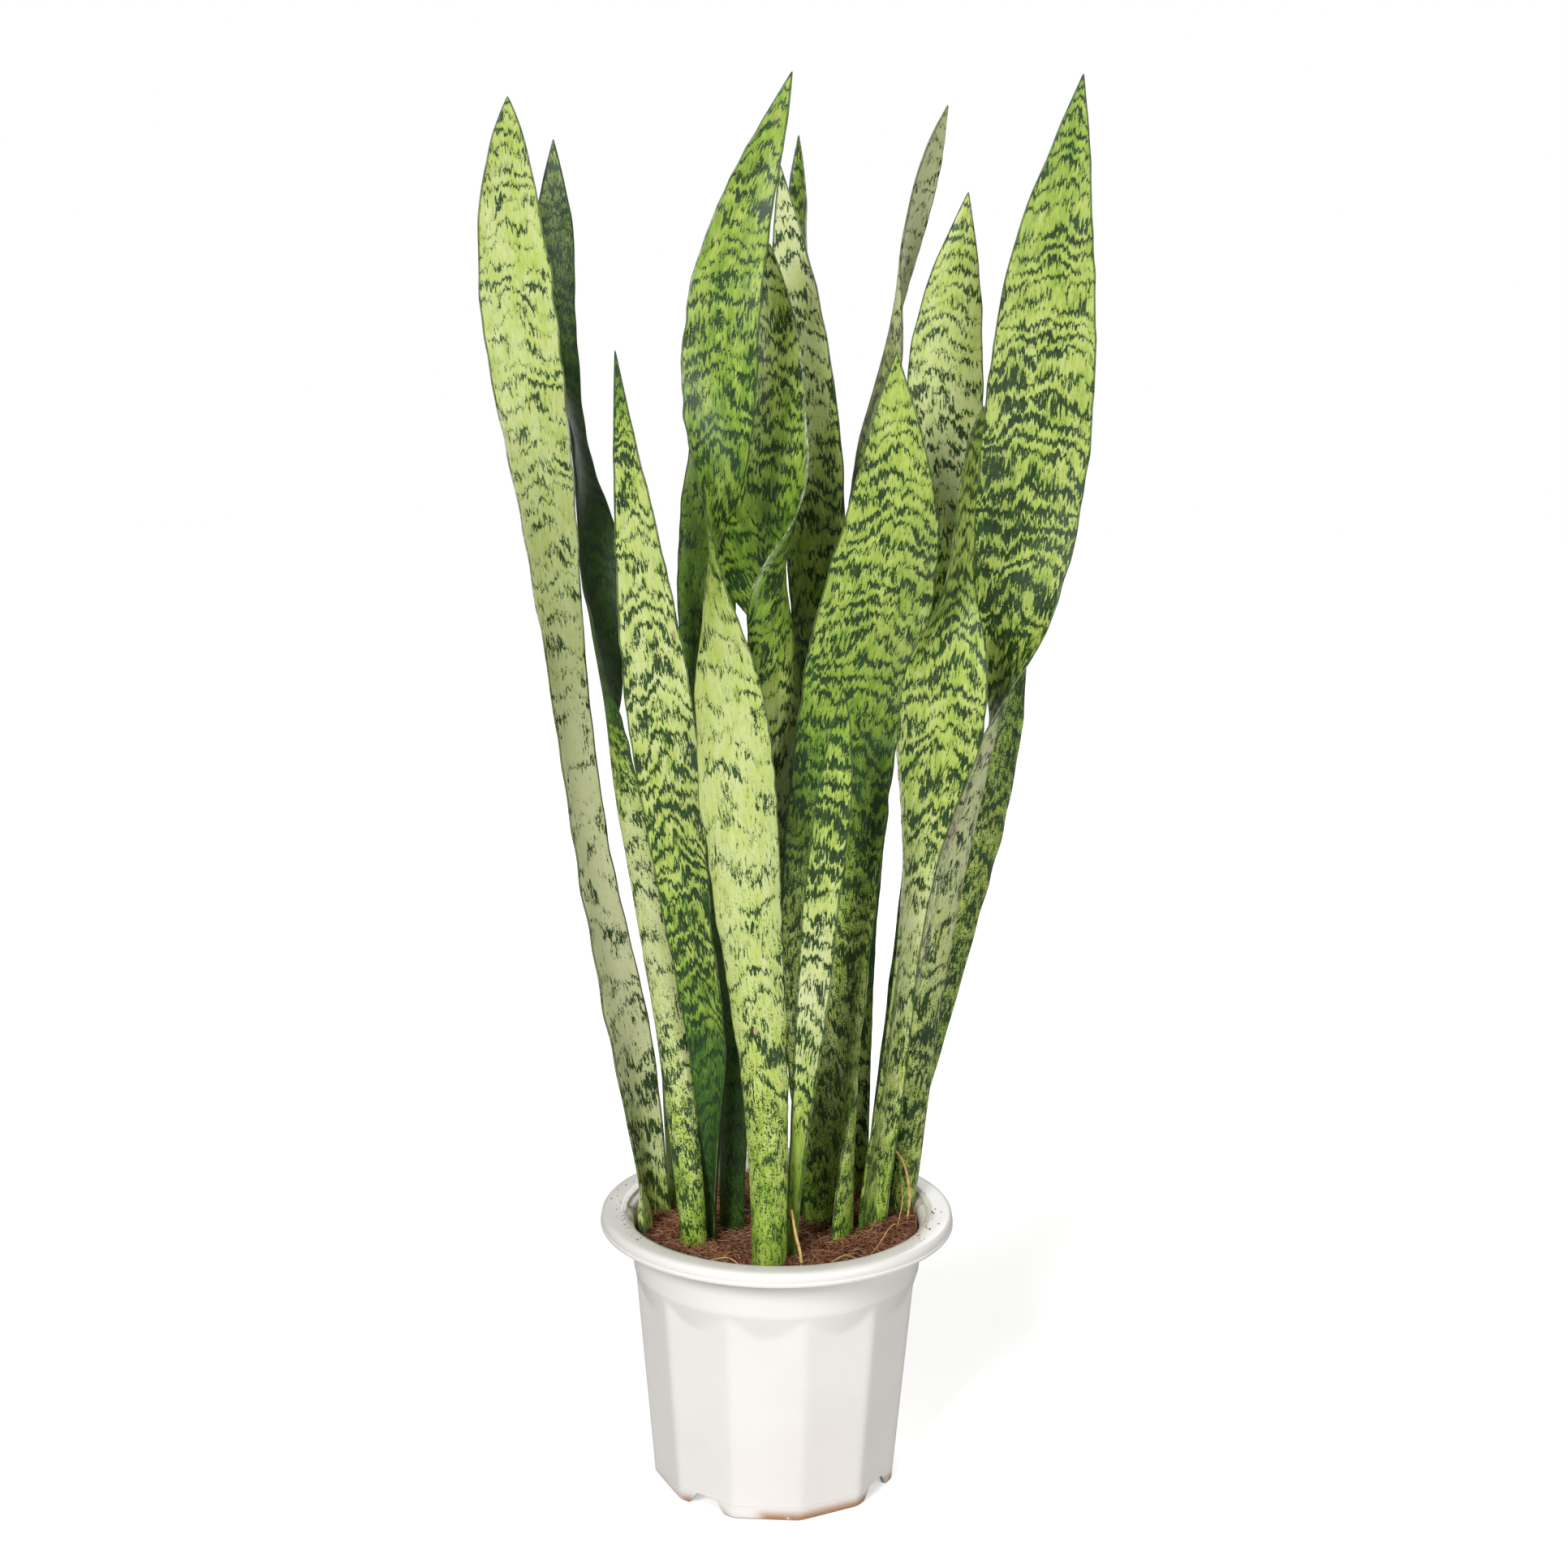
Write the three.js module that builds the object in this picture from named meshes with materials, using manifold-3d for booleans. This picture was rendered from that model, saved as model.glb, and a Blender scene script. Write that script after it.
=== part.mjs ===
// Potted snake plant: fifteen tall leaves and their offsets in coir, in a white twelve-sided nursery pot.
// Millimetres, +Z up. The origin is the middle of the pot's foot ring, on the surface that it stands on.
// The front of the plant looks towards -Y.
import * as THREE from 'three';
import { mergeVertices } from 'three/addons/utils/BufferGeometryUtils.js';
import Module from 'manifold-3d';

const wasm = await Module();
wasm.setup();

// Driving dimensions of the pot
const RIM_RADIUS = 100;
const RIM_TOP = 154.6;
const LIP_BOTTOM = 147.2;
const MOUTH_RADIUS = 86.9;
const NECK_RADIUS = 83;
const CREASE_HEIGHT = 122;
const CREASE_RADIUS = 81;
const SHOULDER_DROP = 12;
const FOOT_RADIUS = 70;
const WALL = 1.8;
const PANELS = 12;
const PANEL_PHASE = 11.5;
const FOOT_HEIGHT = 8;
const FLOOR_TOP = 10;
const NOTCH_COUNT = 4;
const NOTCH_WIDE = 25;
const NOTCH_NARROW = 13;
const DRAIN_RADIUS = 5;
const DRAIN_RING = 38;
const ROUND_STEPS = 48;

// Driving dimensions of the soil and the leaves
const SOIL_LEVEL = 141;
const GAP = 0.4;
const LEAF_FOOT = 112;
const LEAF_FOOT_THICK = 5;
const LEAF_BLADE_THICK = 2.4;
const LEAF_THIN_HEIGHT = 380;
const SOCKET_TOP = 178;
const MARGIN_GROWTH = 3;
const RING_TWIST = 8;

// Leaf stations, from the foot to the tip: height, x, y, width from margin to margin, turn and cup.
// At turn 0 the inner, hollow face looks to the front; at 90 it looks to the right, at 180 to the back.
// Cup is the angle that the cross-section's arc spans: 0 is flat, 180 is a half pipe.
const LEAVES = {
  leaf_left_tall: [
    [LEAF_FOOT, -67, 19, 18, 40, 120], [160, -72, 18, 19, 40, 110], [250, -86, 17, 29, 42, 80],
    [350, -105, 15, 24, 42, 70], [450, -118, 13, 24, 36, 60], [550, -129, 11, 33, 26, 50],
    [640, -141, 9, 40, 12, 40], [700, -146, 8, 32, 8, 36], [742, -146, 7, 14, 8, 30], [759, -146, 7, 0, 8, 20],
  ],
  leaf_left_twisted: [
    [LEAF_FOOT, -45, -21, 14, 160, 150], [160, -48, -23, 15, 160, 140], [250, -59, -12, 20, 150, 120],
    [330, -74, -1, 20, 145, 110], [400, -88, 9, 25, 120, 100], [460, -96, 19, 34, 75, 90],
    [520, -103, 33, 33, 50, 80], [580, -114, 38, 28, 80, 60], [640, -124, 38, 23, 45, 50],
    [700, -126, 39, 20, 25, 40], [743, -126, 40, 0, 25, 20],
  ],
  leaf_left_short: [
    [LEAF_FOOT, -36, -16, 7, -40, 130], [160, -37, -18, 8, -40, 130], [210, -37, -22, 15, -35, 120],
    [255, -38, -27, 23, -25, 80], [320, -48, -30, 26, -15, 60], [390, -57, -32, 34, -10, 45],
    [450, -65, -35, 35, 0, 40], [520, -74, -38, 25, 0, 40], [585, -82, -42, 10, 0, 30], [626, -86, -44, 0, 0, 20],
  ],
  leaf_left_inner: [
    [LEAF_FOOT, -25, 1, 13, 160, 130], [160, -26, 0, 14, 160, 120], [250, -25, 4, 19, 160, 90],
    [350, -34, 8, 22, 160, 70], [430, -38, 10, 27, 180, 60], [500, -41, 13, 32, 190, 50],
    [560, -37, 15, 33, 190, 40], [610, -31, 16, 24, 185, 40], [650, -27, 17, 0, 185, 20],
  ],
  leaf_centre_tall: [
    [LEAF_FOOT, -4, -55, 17, 180, 130], [160, -4, -55, 18, 180, 130], [240, -7, -54, 24, 178, 100],
    [320, -15, -52, 33, 176, 80], [400, -23, -50, 41, 170, 60], [460, -29, -49, 38, 150, 50],
    [505, -35, -48, 27, 115, 50], [530, -35, -48, 27, 84, 50], [560, -33, -48, 31, 42, 50],
    [610, -33, -48, 38, 8, 45], [665, -28, -48, 35, 0, 40], [715, -14, -48, 22, 0, 40],
    [745, -3, -48, 9, 0, 30], [762, 3, -48, 0, 0, 20],
  ],
  leaf_centre_hollow: [
    [LEAF_FOOT, 0, 5, 13, -150, 120], [180, 0, 5, 14, -150, 110], [280, -2, 4, 16, -148, 90],
    [370, -4, -2, 25, -145, 100], [430, 1, -9, 33, -130, 140], [475, -4, -14, 42, -100, 175],
    [515, -13, -14, 56, -62, 165], [565, -8, -17, 44, -12, 110], [620, -3, -17, 26, -5, 90],
    [660, -6, -15, 14, -5, 60], [683, -8, -14, 0, -5, 30],
  ],
  leaf_back_pale: [
    [LEAF_FOOT, 16, 13, 13, 20, 120], [180, 18, 14, 13, 20, 110], [280, 21, 15, 16, 30, 80],
    [380, 22, 16, 20, 40, 70], [470, 18, 16, 28, 30, 60], [550, 17, 16, 33, 10, 50],
    [620, 12, 16, 28, 0, 40], [680, 3, 15, 19, 0, 40], [727, -3, 14, 0, 0, 20],
  ],
  leaf_back_dark: [
    [LEAF_FOOT, 16, 38, 13, 200, 120], [180, 17, 39, 13, 200, 110], [280, 19, 41, 16, 215, 90],
    [380, 19, 43, 20, 225, 70], [480, 18, 44, 23, 230, 60], [580, 12, 44, 26, 235, 50],
    [670, 7, 44, 23, 235, 40], [720, 7, 44, 15, 235, 30], [747, 7, 44, 0, 235, 20],
  ],
  leaf_back_thin: [
    [LEAF_FOOT, 47, 44, 13, 150, 120], [180, 47, 45, 13, 150, 110], [300, 47, 42, 19, 140, 80],
    [420, 52, 38, 25, 145, 70], [500, 49, 36, 30, 150, 60], [570, 50, 35, 30, 140, 60],
    [640, 60, 34, 26, 100, 60], [690, 68, 33, 24, 62, 50], [735, 79, 32, 18, 55, 40], [761, 87, 31, 0, 55, 20],
  ],
  leaf_front_broad: [
    [LEAF_FOOT, 31, -7, 32, -62, 190], [160, 31, -8, 35, -62, 180], [220, 29, -11, 43, -42, 150],
    [290, 26, -16, 48, -15, 100], [360, 29, -19, 53, -5, 70], [430, 36, -22, 55, 0, 55],
    [490, 48, -26, 60, 0, 45], [540, 57, -29, 49, 0, 40], [590, 58, -32, 25, 0, 40], [627, 58, -33, 0, 0, 20],
  ],
  leaf_right_back: [
    [LEAF_FOOT, 54, 25, 13, 150, 120], [180, 59, 26, 13, 150, 110], [280, 72, 24, 18, 165, 80],
    [380, 84, 20, 23, 175, 60], [480, 93, 17, 30, 180, 50], [560, 91, 14, 37, 180, 45],
    [620, 87, 12, 40, 180, 40], [670, 91, 11, 26, 180, 40], [713, 97, 10, 0, 180, 20],
  ],
  leaf_right_twisted: [
    [LEAF_FOOT, 52, -9, 15, 35, 160], [160, 54, -10, 17, 35, 150], [240, 63, -19, 18, 45, 130],
    [310, 69, -28, 19, 50, 110], [370, 75, -36, 26, 30, 90], [430, 83, -41, 46, 8, 70],
    [468, 86, -42, 42, 10, 60], [510, 91, -42, 29, 55, 50], [560, 95, -41, 22, 62, 40],
    [585, 99, -40, 13, 60, 30], [600, 103, -40, 0, 60, 20],
  ],
  leaf_front_small: [
    [LEAF_FOOT, 8, -44, 7, -50, 120], [160, 9, -45, 8, -50, 110], [220, 13, -48, 12, -35, 90],
    [280, 18, -52, 17, -20, 70], [340, 22, -56, 19, -8, 50], [400, 28, -60, 18, 0, 40],
    [435, 31, -62, 10, 0, 30], [457, 32, -64, 0, 0, 20],
  ],
  leaf_right_tall: [
    [LEAF_FOOT, 66, 16, 15, -140, 150], [160, 74, 16, 16, -140, 140], [250, 83, 14, 22, -135, 130],
    [340, 96, 9, 28, -128, 110], [405, 110, 4, 30, -112, 80], [445, 119, 0, 36, -82, 60],
    [490, 126, -4, 44, -28, 50], [550, 131, -8, 56, -4, 45], [620, 136, -12, 55, 0, 40],
    [680, 139, -15, 42, 0, 40], [735, 147, -17, 18, 0, 30], [768, 152, -18, 0, 0, 20],
  ],
  leaf_right_low: [
    [LEAF_FOOT, 61, 36, 10, -150, 120], [160, 70, 34, 11, -150, 110], [240, 91, 38, 13, -150, 90],
    [310, 108, 40, 17, -150, 80], [370, 121, 40, 21, -150, 60], [430, 129, 40, 22, -150, 50],
    [475, 132, 40, 13, -150, 40], [497, 132, 40, 0, -150, 20],
  ],
  leaf_left_offset: [
    [LEAF_FOOT, -56, 33, 10, 160, 120], [160, -59, 33, 11, 160, 110], [230, -63, 33, 10, 160, 90],
    [280, -64, 33, 7, 160, 60], [310, -65, 33, 0, 160, 20],
  ],
  sheath_left: [
    [LEAF_FOOT, -69, -3, 12, 78, 120], [135, -73, -3, 14, 78, 120], [152, -75, -3, 13, 78, 110],
    [168, -77, -1, 0, 78, 60],
  ],
};

// Loose straws of coir: points by hand along each, and the straw's radius
const STRAWS = {
  straw_front: { radius: 0.9, points: [[8, -53, 172], [10, -54, 160], [13, -57, 148], [14, -59, 134]] },
  straw_right: { radius: 0.8, points: [[61, -3, 192], [67, -1, 187], [72, 1, 178], [75, 2, 164], [74, 2, 140]] },
};

// Solids and meshes
function toSolid(geometry) {
  const plain = geometry.clone();
  plain.deleteAttribute('normal');
  plain.deleteAttribute('uv');
  const merged = mergeVertices(plain, 1e-4);
  const vertProperties = new Float32Array(merged.attributes.position.array);
  const triVerts = new Uint32Array(merged.index.array);
  return new wasm.Manifold(new wasm.Mesh({ numProp: 3, vertProperties, triVerts }));
}

function toGeometry(solid) {
  const mesh = solid.getMesh();
  const geometry = new THREE.BufferGeometry();
  geometry.setAttribute('position', new THREE.BufferAttribute(new Float32Array(mesh.vertProperties), 3));
  geometry.setIndex(new THREE.BufferAttribute(new Uint32Array(mesh.triVerts), 1));
  geometry.computeVertexNormals();
  return geometry;
}

// A profile of [radius, height] points turned about +Z
function turned(profile, steps = ROUND_STEPS) {
  const points = profile.map(([radius, height]) => new THREE.Vector2(radius, height));
  const geometry = new THREE.LatheGeometry(points, steps);
  geometry.rotateX(Math.PI / 2);
  geometry.rotateZ(THREE.MathUtils.degToRad(PANEL_PHASE - 90));
  return toSolid(geometry);
}

// A many-sided frustum with a corner at PANEL_PHASE from the front
function frustum(lowRadius, highRadius, low, high, sides) {
  const profile = [[0, low], [lowRadius, low], [highRadius, high], [0, high]];
  return turned(profile, sides);
}

// Rows of points joined into a closed skin. An end is a pole, or null for a strip that closes a narrow row.
function skin(rows, lowPole, highPole) {
  const around = rows[0].length;
  const positions = rows.flat(2);
  const index = [];
  for (let i = 0; i < rows.length - 1; i += 1) {
    for (let j = 0; j < around; j += 1) {
      const next = (j + 1) % around;
      const a = i * around;
      const b = a + around;
      // Both faces of a blade are cut along the same diagonal, so that a twisted blade keeps its thickness
      if (j < around / 2) {
        index.push(a + j, a + next, b + next);
        index.push(a + j, b + next, b + j);
      } else {
        index.push(a + j, a + next, b + j);
        index.push(a + next, b + next, b + j);
      }
    }
  }
  const close = (first, pole, flip) => {
    const add = (a, b, c) => (flip ? index.push(a, c, b) : index.push(a, b, c));
    if (pole === null) {
      for (let j = 1; j < around / 2; j += 1) {
        add(first + j - 1, first + j, first + (around - j + 1) % around);
        add(first + j, first + around - j, first + (around - j + 1) % around);
      }
      add(first + around / 2 - 1, first + around / 2, first + around / 2 + 1);
      return;
    }
    const centre = positions.length / 3;
    positions.push(...pole);
    for (let j = 0; j < around; j += 1) {
      add(first + j, first + (j + 1) % around, centre);
    }
  };
  close(0, lowPole, true);
  close((rows.length - 1) * around, highPole, false);
  const geometry = new THREE.BufferGeometry();
  geometry.setAttribute('position', new THREE.BufferAttribute(new Float32Array(positions), 3));
  geometry.setIndex(index);
  geometry.computeVertexNormals();
  return geometry;
}

// Smooth value of one station column at a height, by cubic pieces through the stations
function along(stations, column, height) {
  const count = stations.length;
  let i = 0;
  while (i < count - 2 && stations[i + 1][0] < height) {
    i += 1;
  }
  const [a, b] = [stations[i], stations[i + 1]];
  const before = stations[Math.max(i - 1, 0)];
  const after = stations[Math.min(i + 2, count - 1)];
  const span = b[0] - a[0];
  const slopeA = (b[column] - before[column]) / (b[0] - before[0]);
  const slopeB = (after[column] - a[column]) / (after[0] - a[0]);
  const t = (height - a[0]) / span;
  const h00 = (1 + 2 * t) * (1 - t) * (1 - t);
  const h10 = t * (1 - t) * (1 - t);
  const h01 = t * t * (3 - 2 * t);
  const h11 = t * t * (t - 1);
  return h00 * a[column] + h10 * span * slopeA + h01 * b[column] + h11 * span * slopeB;
}

// One closed section of a leaf at a height: margin, inner face, margin, outer face
function leafSection(stations, height, grow) {
  const [x, y, width, turn, cup] = [1, 2, 3, 4, 5].map((column) => along(stations, column, height));
  const facing = THREE.MathUtils.degToRad(turn);
  const across = [Math.cos(facing), Math.sin(facing)];
  const inward = [Math.sin(facing), -Math.cos(facing)];
  const half = THREE.MathUtils.degToRad(Math.max(cup, 8)) / 2;
  const radius = Math.max(width, 1.2) / 2 / Math.sin(half);
  const rise = radius * (1 - Math.cos(half)) / 2;
  const thin = THREE.MathUtils.smoothstep(height, LEAF_FOOT, LEAF_THIN_HEIGHT);
  const full = THREE.MathUtils.lerp(LEAF_FOOT_THICK, LEAF_BLADE_THICK, thin);
  const thick = Math.min(full, 0.3 * Math.max(width, 1.2));
  const place = (share, side) => {
    const angle = share * half;
    const swell = side * (thick / 2 * Math.sqrt(1 - 0.7 * share * share) + grow);
    const edge = side === 0 ? Math.sign(share) * grow * MARGIN_GROWTH : 0;
    const chord = 0.75 * angle;
    const reach = (radius - swell) * Math.sin(angle) + edge * Math.cos(chord);
    const lift = radius - (radius - swell) * Math.cos(angle) - rise + edge * Math.sin(chord);
    return [x + across[0] * reach + inward[0] * lift, y + across[1] * reach + inward[1] * lift, height];
  };
  const inner = [-0.5, 0, 0.5].map((share) => place(share, 1));
  const outer = [0.5, 0, -0.5].map((share) => place(share, -1));
  return [place(-1, 0), ...inner, place(1, 0), ...outer];
}

function leafGeometry(stations, { grow = 0, top = Infinity } = {}) {
  const heights = [];
  for (let i = 0; i < stations.length - 1; i += 1) {
    const [low, high] = [stations[i][0], stations[i + 1][0]];
    const twist = Math.abs(stations[i + 1][4] - stations[i][4]);
    const parts = Math.max(2, Math.ceil(twist / RING_TWIST));
    for (let k = 0; k < parts; k += 1) {
      heights.push(THREE.MathUtils.lerp(low, high, k / parts));
    }
  }
  const used = heights.filter((height) => height <= top);
  const rows = used.map((height) => leafSection(stations, height, grow));
  const tip = stations[stations.length - 1];
  rows[0] = rows[0].map(([x, y, z]) => [x, y, z - grow]);
  return skin(rows, null, top < tip[0] ? null : [tip[1], tip[2], tip[0]]);
}

function strawGeometry({ radius, points }, grow = 0) {
  const path = new THREE.CatmullRomCurve3(points.map((point) => new THREE.Vector3(...point)));
  const section = new THREE.Shape();
  section.absarc(0, 0, radius + grow, 0, 2 * Math.PI);
  return new THREE.ExtrudeGeometry(section, { extrudePath: path, steps: 12, curveSegments: 3 });
}

// Pot: rolled rim, round neck, twelve panels that meet the neck in scallops, raised floor and notched foot ring
function potSolid() {
  const shoulderRadius = CREASE_RADIUS - 0.3 * SHOULDER_DROP;
  const neck = turned([
    [0, CREASE_HEIGHT - SHOULDER_DROP], [shoulderRadius, CREASE_HEIGHT - SHOULDER_DROP],
    [CREASE_RADIUS, CREASE_HEIGHT], [NECK_RADIUS, LIP_BOTTOM], [NECK_RADIUS + 1, 150], [0, 150],
  ]);
  const rim = turned([
    [0, 149], [NECK_RADIUS + 0.6, 149], [NECK_RADIUS + 3.6, 152.4], [95.5, 152.4], [97.6, 151.4],
    [98.2, 149.5], [98.2, LIP_BOTTOM], [RIM_RADIUS - 0.2, LIP_BOTTOM], [RIM_RADIUS, LIP_BOTTOM + 0.6],
    [RIM_RADIUS, 149], [RIM_RADIUS - 0.5, 149.3], [RIM_RADIUS - 0.5, 151.4], [RIM_RADIUS - 1.3, 153.1],
    [RIM_RADIUS - 3, 154.1], [93, RIM_TOP], [MOUTH_RADIUS + 0.6, RIM_TOP - 0.3], [MOUTH_RADIUS, RIM_TOP - 1],
    [0, RIM_TOP - 1],
  ]);
  const panels = frustum(FOOT_RADIUS, CREASE_RADIUS, 0, CREASE_HEIGHT, PANELS);
  const cavity = turned([
    [0, FLOOR_TOP], [64, FLOOR_TOP], [65.6, FLOOR_TOP + 2], [75.2, 108], [CREASE_RADIUS - WALL, CREASE_HEIGHT],
    [NECK_RADIUS - WALL, LIP_BOTTOM], [84.4, 150.8], [85, 152], [MOUTH_RADIUS + 0.2, RIM_TOP - 1.2],
    [MOUTH_RADIUS + 0.2, RIM_TOP + 2], [0, RIM_TOP + 2],
  ]);
  const recess = frustum(FOOT_RADIUS - 4.6, FOOT_RADIUS - 3.8, -1, FOOT_HEIGHT, ROUND_STEPS);
  let pot = panels.add(neck).add(rim).subtract(cavity).subtract(recess);
  for (let k = 0; k < NOTCH_COUNT; k += 1) {
    pot = pot.subtract(notchSolid(PANEL_PHASE - 45 + k * 360 / NOTCH_COUNT));
  }
  for (let k = 0; k <= NOTCH_COUNT; k += 1) {
    const ring = k === NOTCH_COUNT ? 0 : DRAIN_RING;
    const angle = THREE.MathUtils.degToRad(k * 360 / NOTCH_COUNT);
    const hole = frustum(DRAIN_RADIUS, DRAIN_RADIUS, FOOT_HEIGHT - 2, FLOOR_TOP + 2, 12);
    pot = pot.subtract(hole.translate([ring * Math.cos(angle), ring * Math.sin(angle), 0]));
  }
  return pot;
}

// Trapezoid notch through the foot ring, degrees from the front towards +X
function notchSolid(degrees) {
  const outline = new THREE.Shape([
    new THREE.Vector2(-NOTCH_WIDE / 2 - 1.5, -2), new THREE.Vector2(NOTCH_WIDE / 2 + 1.5, -2),
    new THREE.Vector2(NOTCH_NARROW / 2, FOOT_HEIGHT), new THREE.Vector2(-NOTCH_NARROW / 2, FOOT_HEIGHT),
  ]);
  const geometry = new THREE.ExtrudeGeometry(outline, { depth: 40, bevelEnabled: false });
  geometry.rotateX(Math.PI / 2);
  geometry.translate(0, -40, 0);
  geometry.rotateZ(THREE.MathUtils.degToRad(degrees));
  return toSolid(geometry);
}

// Soil: fills the pot, with an uneven top that is higher at the right and the back, and a socket for each leaf
function soilHeight(x, y) {
  const ripple = 1.4 * Math.sin(x / 8 + 1) * Math.sin(y / 9 + 2) + 1.1 * Math.sin(x / 5 - y / 6);
  const slope = 3 * x / 80 + 3 * y / 80;
  return SOIL_LEVEL + slope + ripple;
}

function soilSolid() {
  const around = 40;
  const circle = (radius, heightAt) => {
    const row = [];
    for (let j = 0; j < around; j += 1) {
      const angle = 2 * Math.PI * j / around;
      const [x, y] = [radius * Math.cos(angle), radius * Math.sin(angle)];
      row.push([x, y, heightAt(x, y)]);
    }
    return row;
  };
  const low = FLOOR_TOP + GAP;
  const rows = [circle(63.4, () => low), circle(65, () => low + 2), circle(74.6, () => 108)];
  const topRings = [79.8, 73, 64, 54, 44, 33, 22, 11];
  topRings.forEach((radius) => rows.push(circle(radius, soilHeight)));
  let soil = toSolid(skin(rows, [0, 0, low], [0, 0, soilHeight(0, 0)]));
  Object.values(LEAVES).forEach((stations) => {
    soil = soil.subtract(toSolid(leafGeometry(stations, { grow: GAP, top: SOCKET_TOP })));
  });
  Object.values(STRAWS).forEach((straw) => {
    soil = soil.subtract(toSolid(strawGeometry(straw, GAP)));
  });
  return soil;
}

// Materials: white glossy plastic, brown coir, straw, and one green for each kind of leaf
const finish = (color, roughness) => new THREE.MeshStandardMaterial({ color, roughness, metalness: 0 });
const LEAF_COLOURS = {
  leaf_left_tall: 0xa9bf4a, leaf_left_twisted: 0x6d8a4c, leaf_left_short: 0x8fae5a, leaf_left_inner: 0x5f8534,
  leaf_centre_tall: 0x9bb562, leaf_centre_hollow: 0x7f9a52, leaf_back_pale: 0x93ad60, leaf_back_dark: 0x3f6b2c,
  leaf_back_thin: 0x6f8a4e, leaf_front_broad: 0x7ba346, leaf_right_back: 0x84a257, leaf_right_twisted: 0x9db45c,
  leaf_front_small: 0x6ea03a, leaf_right_tall: 0x86a84a, leaf_right_low: 0x4a7434, leaf_left_offset: 0x5c8a30,
  sheath_left: 0x74913f,
};

const plant = new THREE.Group();
function addPiece(name, geometry, material) {
  const mesh = new THREE.Mesh(geometry, material);
  mesh.name = name;
  plant.add(mesh);
}

addPiece('pot', toGeometry(potSolid()), finish(0xf1f0ec, 0.3));
addPiece('soil', toGeometry(soilSolid()), finish(0x6b3f2b, 0.95));
Object.entries(LEAVES).forEach(([name, stations]) => {
  addPiece(name, leafGeometry(stations), finish(LEAF_COLOURS[name], 0.42));
});
Object.entries(STRAWS).forEach(([name, straw]) => {
  addPiece(name, strawGeometry(straw), finish(0xd9b27a, 0.7));
});

export default plant;
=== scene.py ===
import math
import random

import bmesh
import bpy
import numpy as np
from mathutils import Matrix, Vector, noise


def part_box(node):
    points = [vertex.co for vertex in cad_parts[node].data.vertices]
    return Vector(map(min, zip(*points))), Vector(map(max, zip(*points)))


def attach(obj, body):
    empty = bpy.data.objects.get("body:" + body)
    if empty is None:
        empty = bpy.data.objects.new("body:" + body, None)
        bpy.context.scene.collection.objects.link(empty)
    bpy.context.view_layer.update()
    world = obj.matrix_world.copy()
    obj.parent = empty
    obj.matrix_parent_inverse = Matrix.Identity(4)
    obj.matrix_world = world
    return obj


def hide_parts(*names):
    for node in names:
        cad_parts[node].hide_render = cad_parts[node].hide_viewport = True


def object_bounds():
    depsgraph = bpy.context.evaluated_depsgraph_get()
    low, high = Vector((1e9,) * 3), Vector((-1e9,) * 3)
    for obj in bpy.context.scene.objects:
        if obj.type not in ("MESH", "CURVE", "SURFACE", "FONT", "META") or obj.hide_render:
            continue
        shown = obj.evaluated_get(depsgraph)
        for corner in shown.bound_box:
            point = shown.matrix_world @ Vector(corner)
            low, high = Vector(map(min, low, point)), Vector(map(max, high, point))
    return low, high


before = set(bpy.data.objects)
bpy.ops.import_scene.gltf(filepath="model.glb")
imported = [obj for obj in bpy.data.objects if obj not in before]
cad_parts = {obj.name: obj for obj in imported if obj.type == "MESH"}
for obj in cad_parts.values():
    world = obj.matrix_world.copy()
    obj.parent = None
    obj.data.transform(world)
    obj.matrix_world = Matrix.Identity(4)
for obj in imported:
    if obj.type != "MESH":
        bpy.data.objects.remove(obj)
CAD_LOW, CAD_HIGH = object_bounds()

MM = 0.001
BODY = "root"


# --------------------------------------------------------------------------------------------------
# Small helpers for meshes, node trees and colours
# --------------------------------------------------------------------------------------------------
def linear(code):
    """A colour written as rrggbb, as the linear red, green, blue and alpha that shaders take."""
    parts = [int(code[i:i + 2], 16) / 255 for i in (0, 2, 4)]
    return tuple([p / 12.92 if p <= 0.04045 else ((p + 0.055) / 1.055) ** 2.4 for p in parts] + [1.0])


def smooth_step(low, high, value):
    share = np.clip((value - low) / (high - low), 0, 1)
    return share * share * (3 - 2 * share)


def mesh_object(name, points, faces, material, smooth=True):
    mesh = bpy.data.meshes.new(name)
    mesh.from_pydata([tuple(p) for p in points], [], faces)
    mesh.update()
    if smooth:
        mesh.polygons.foreach_set("use_smooth", [True] * len(mesh.polygons))
    mesh.materials.append(material)
    piece = bpy.data.objects.new(name, mesh)
    bpy.context.scene.collection.objects.link(piece)
    return piece


def float_attribute(piece, name, values):
    attribute = piece.data.attributes.new(name, "FLOAT", "POINT")
    attribute.data.foreach_set("value", np.asarray(values, np.float32))


def vector_attribute(piece, name, values):
    attribute = piece.data.attributes.new(name, "FLOAT_VECTOR", "POINT")
    attribute.data.foreach_set("vector", np.asarray(values, np.float32).ravel())


def join_to_part(piece, slot, *nodes):
    """The piece rides on the part and stands for the CAD nodes that it replaces; the slot is not used."""
    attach(piece, BODY)
    if nodes:
        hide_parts(*nodes)


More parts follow.
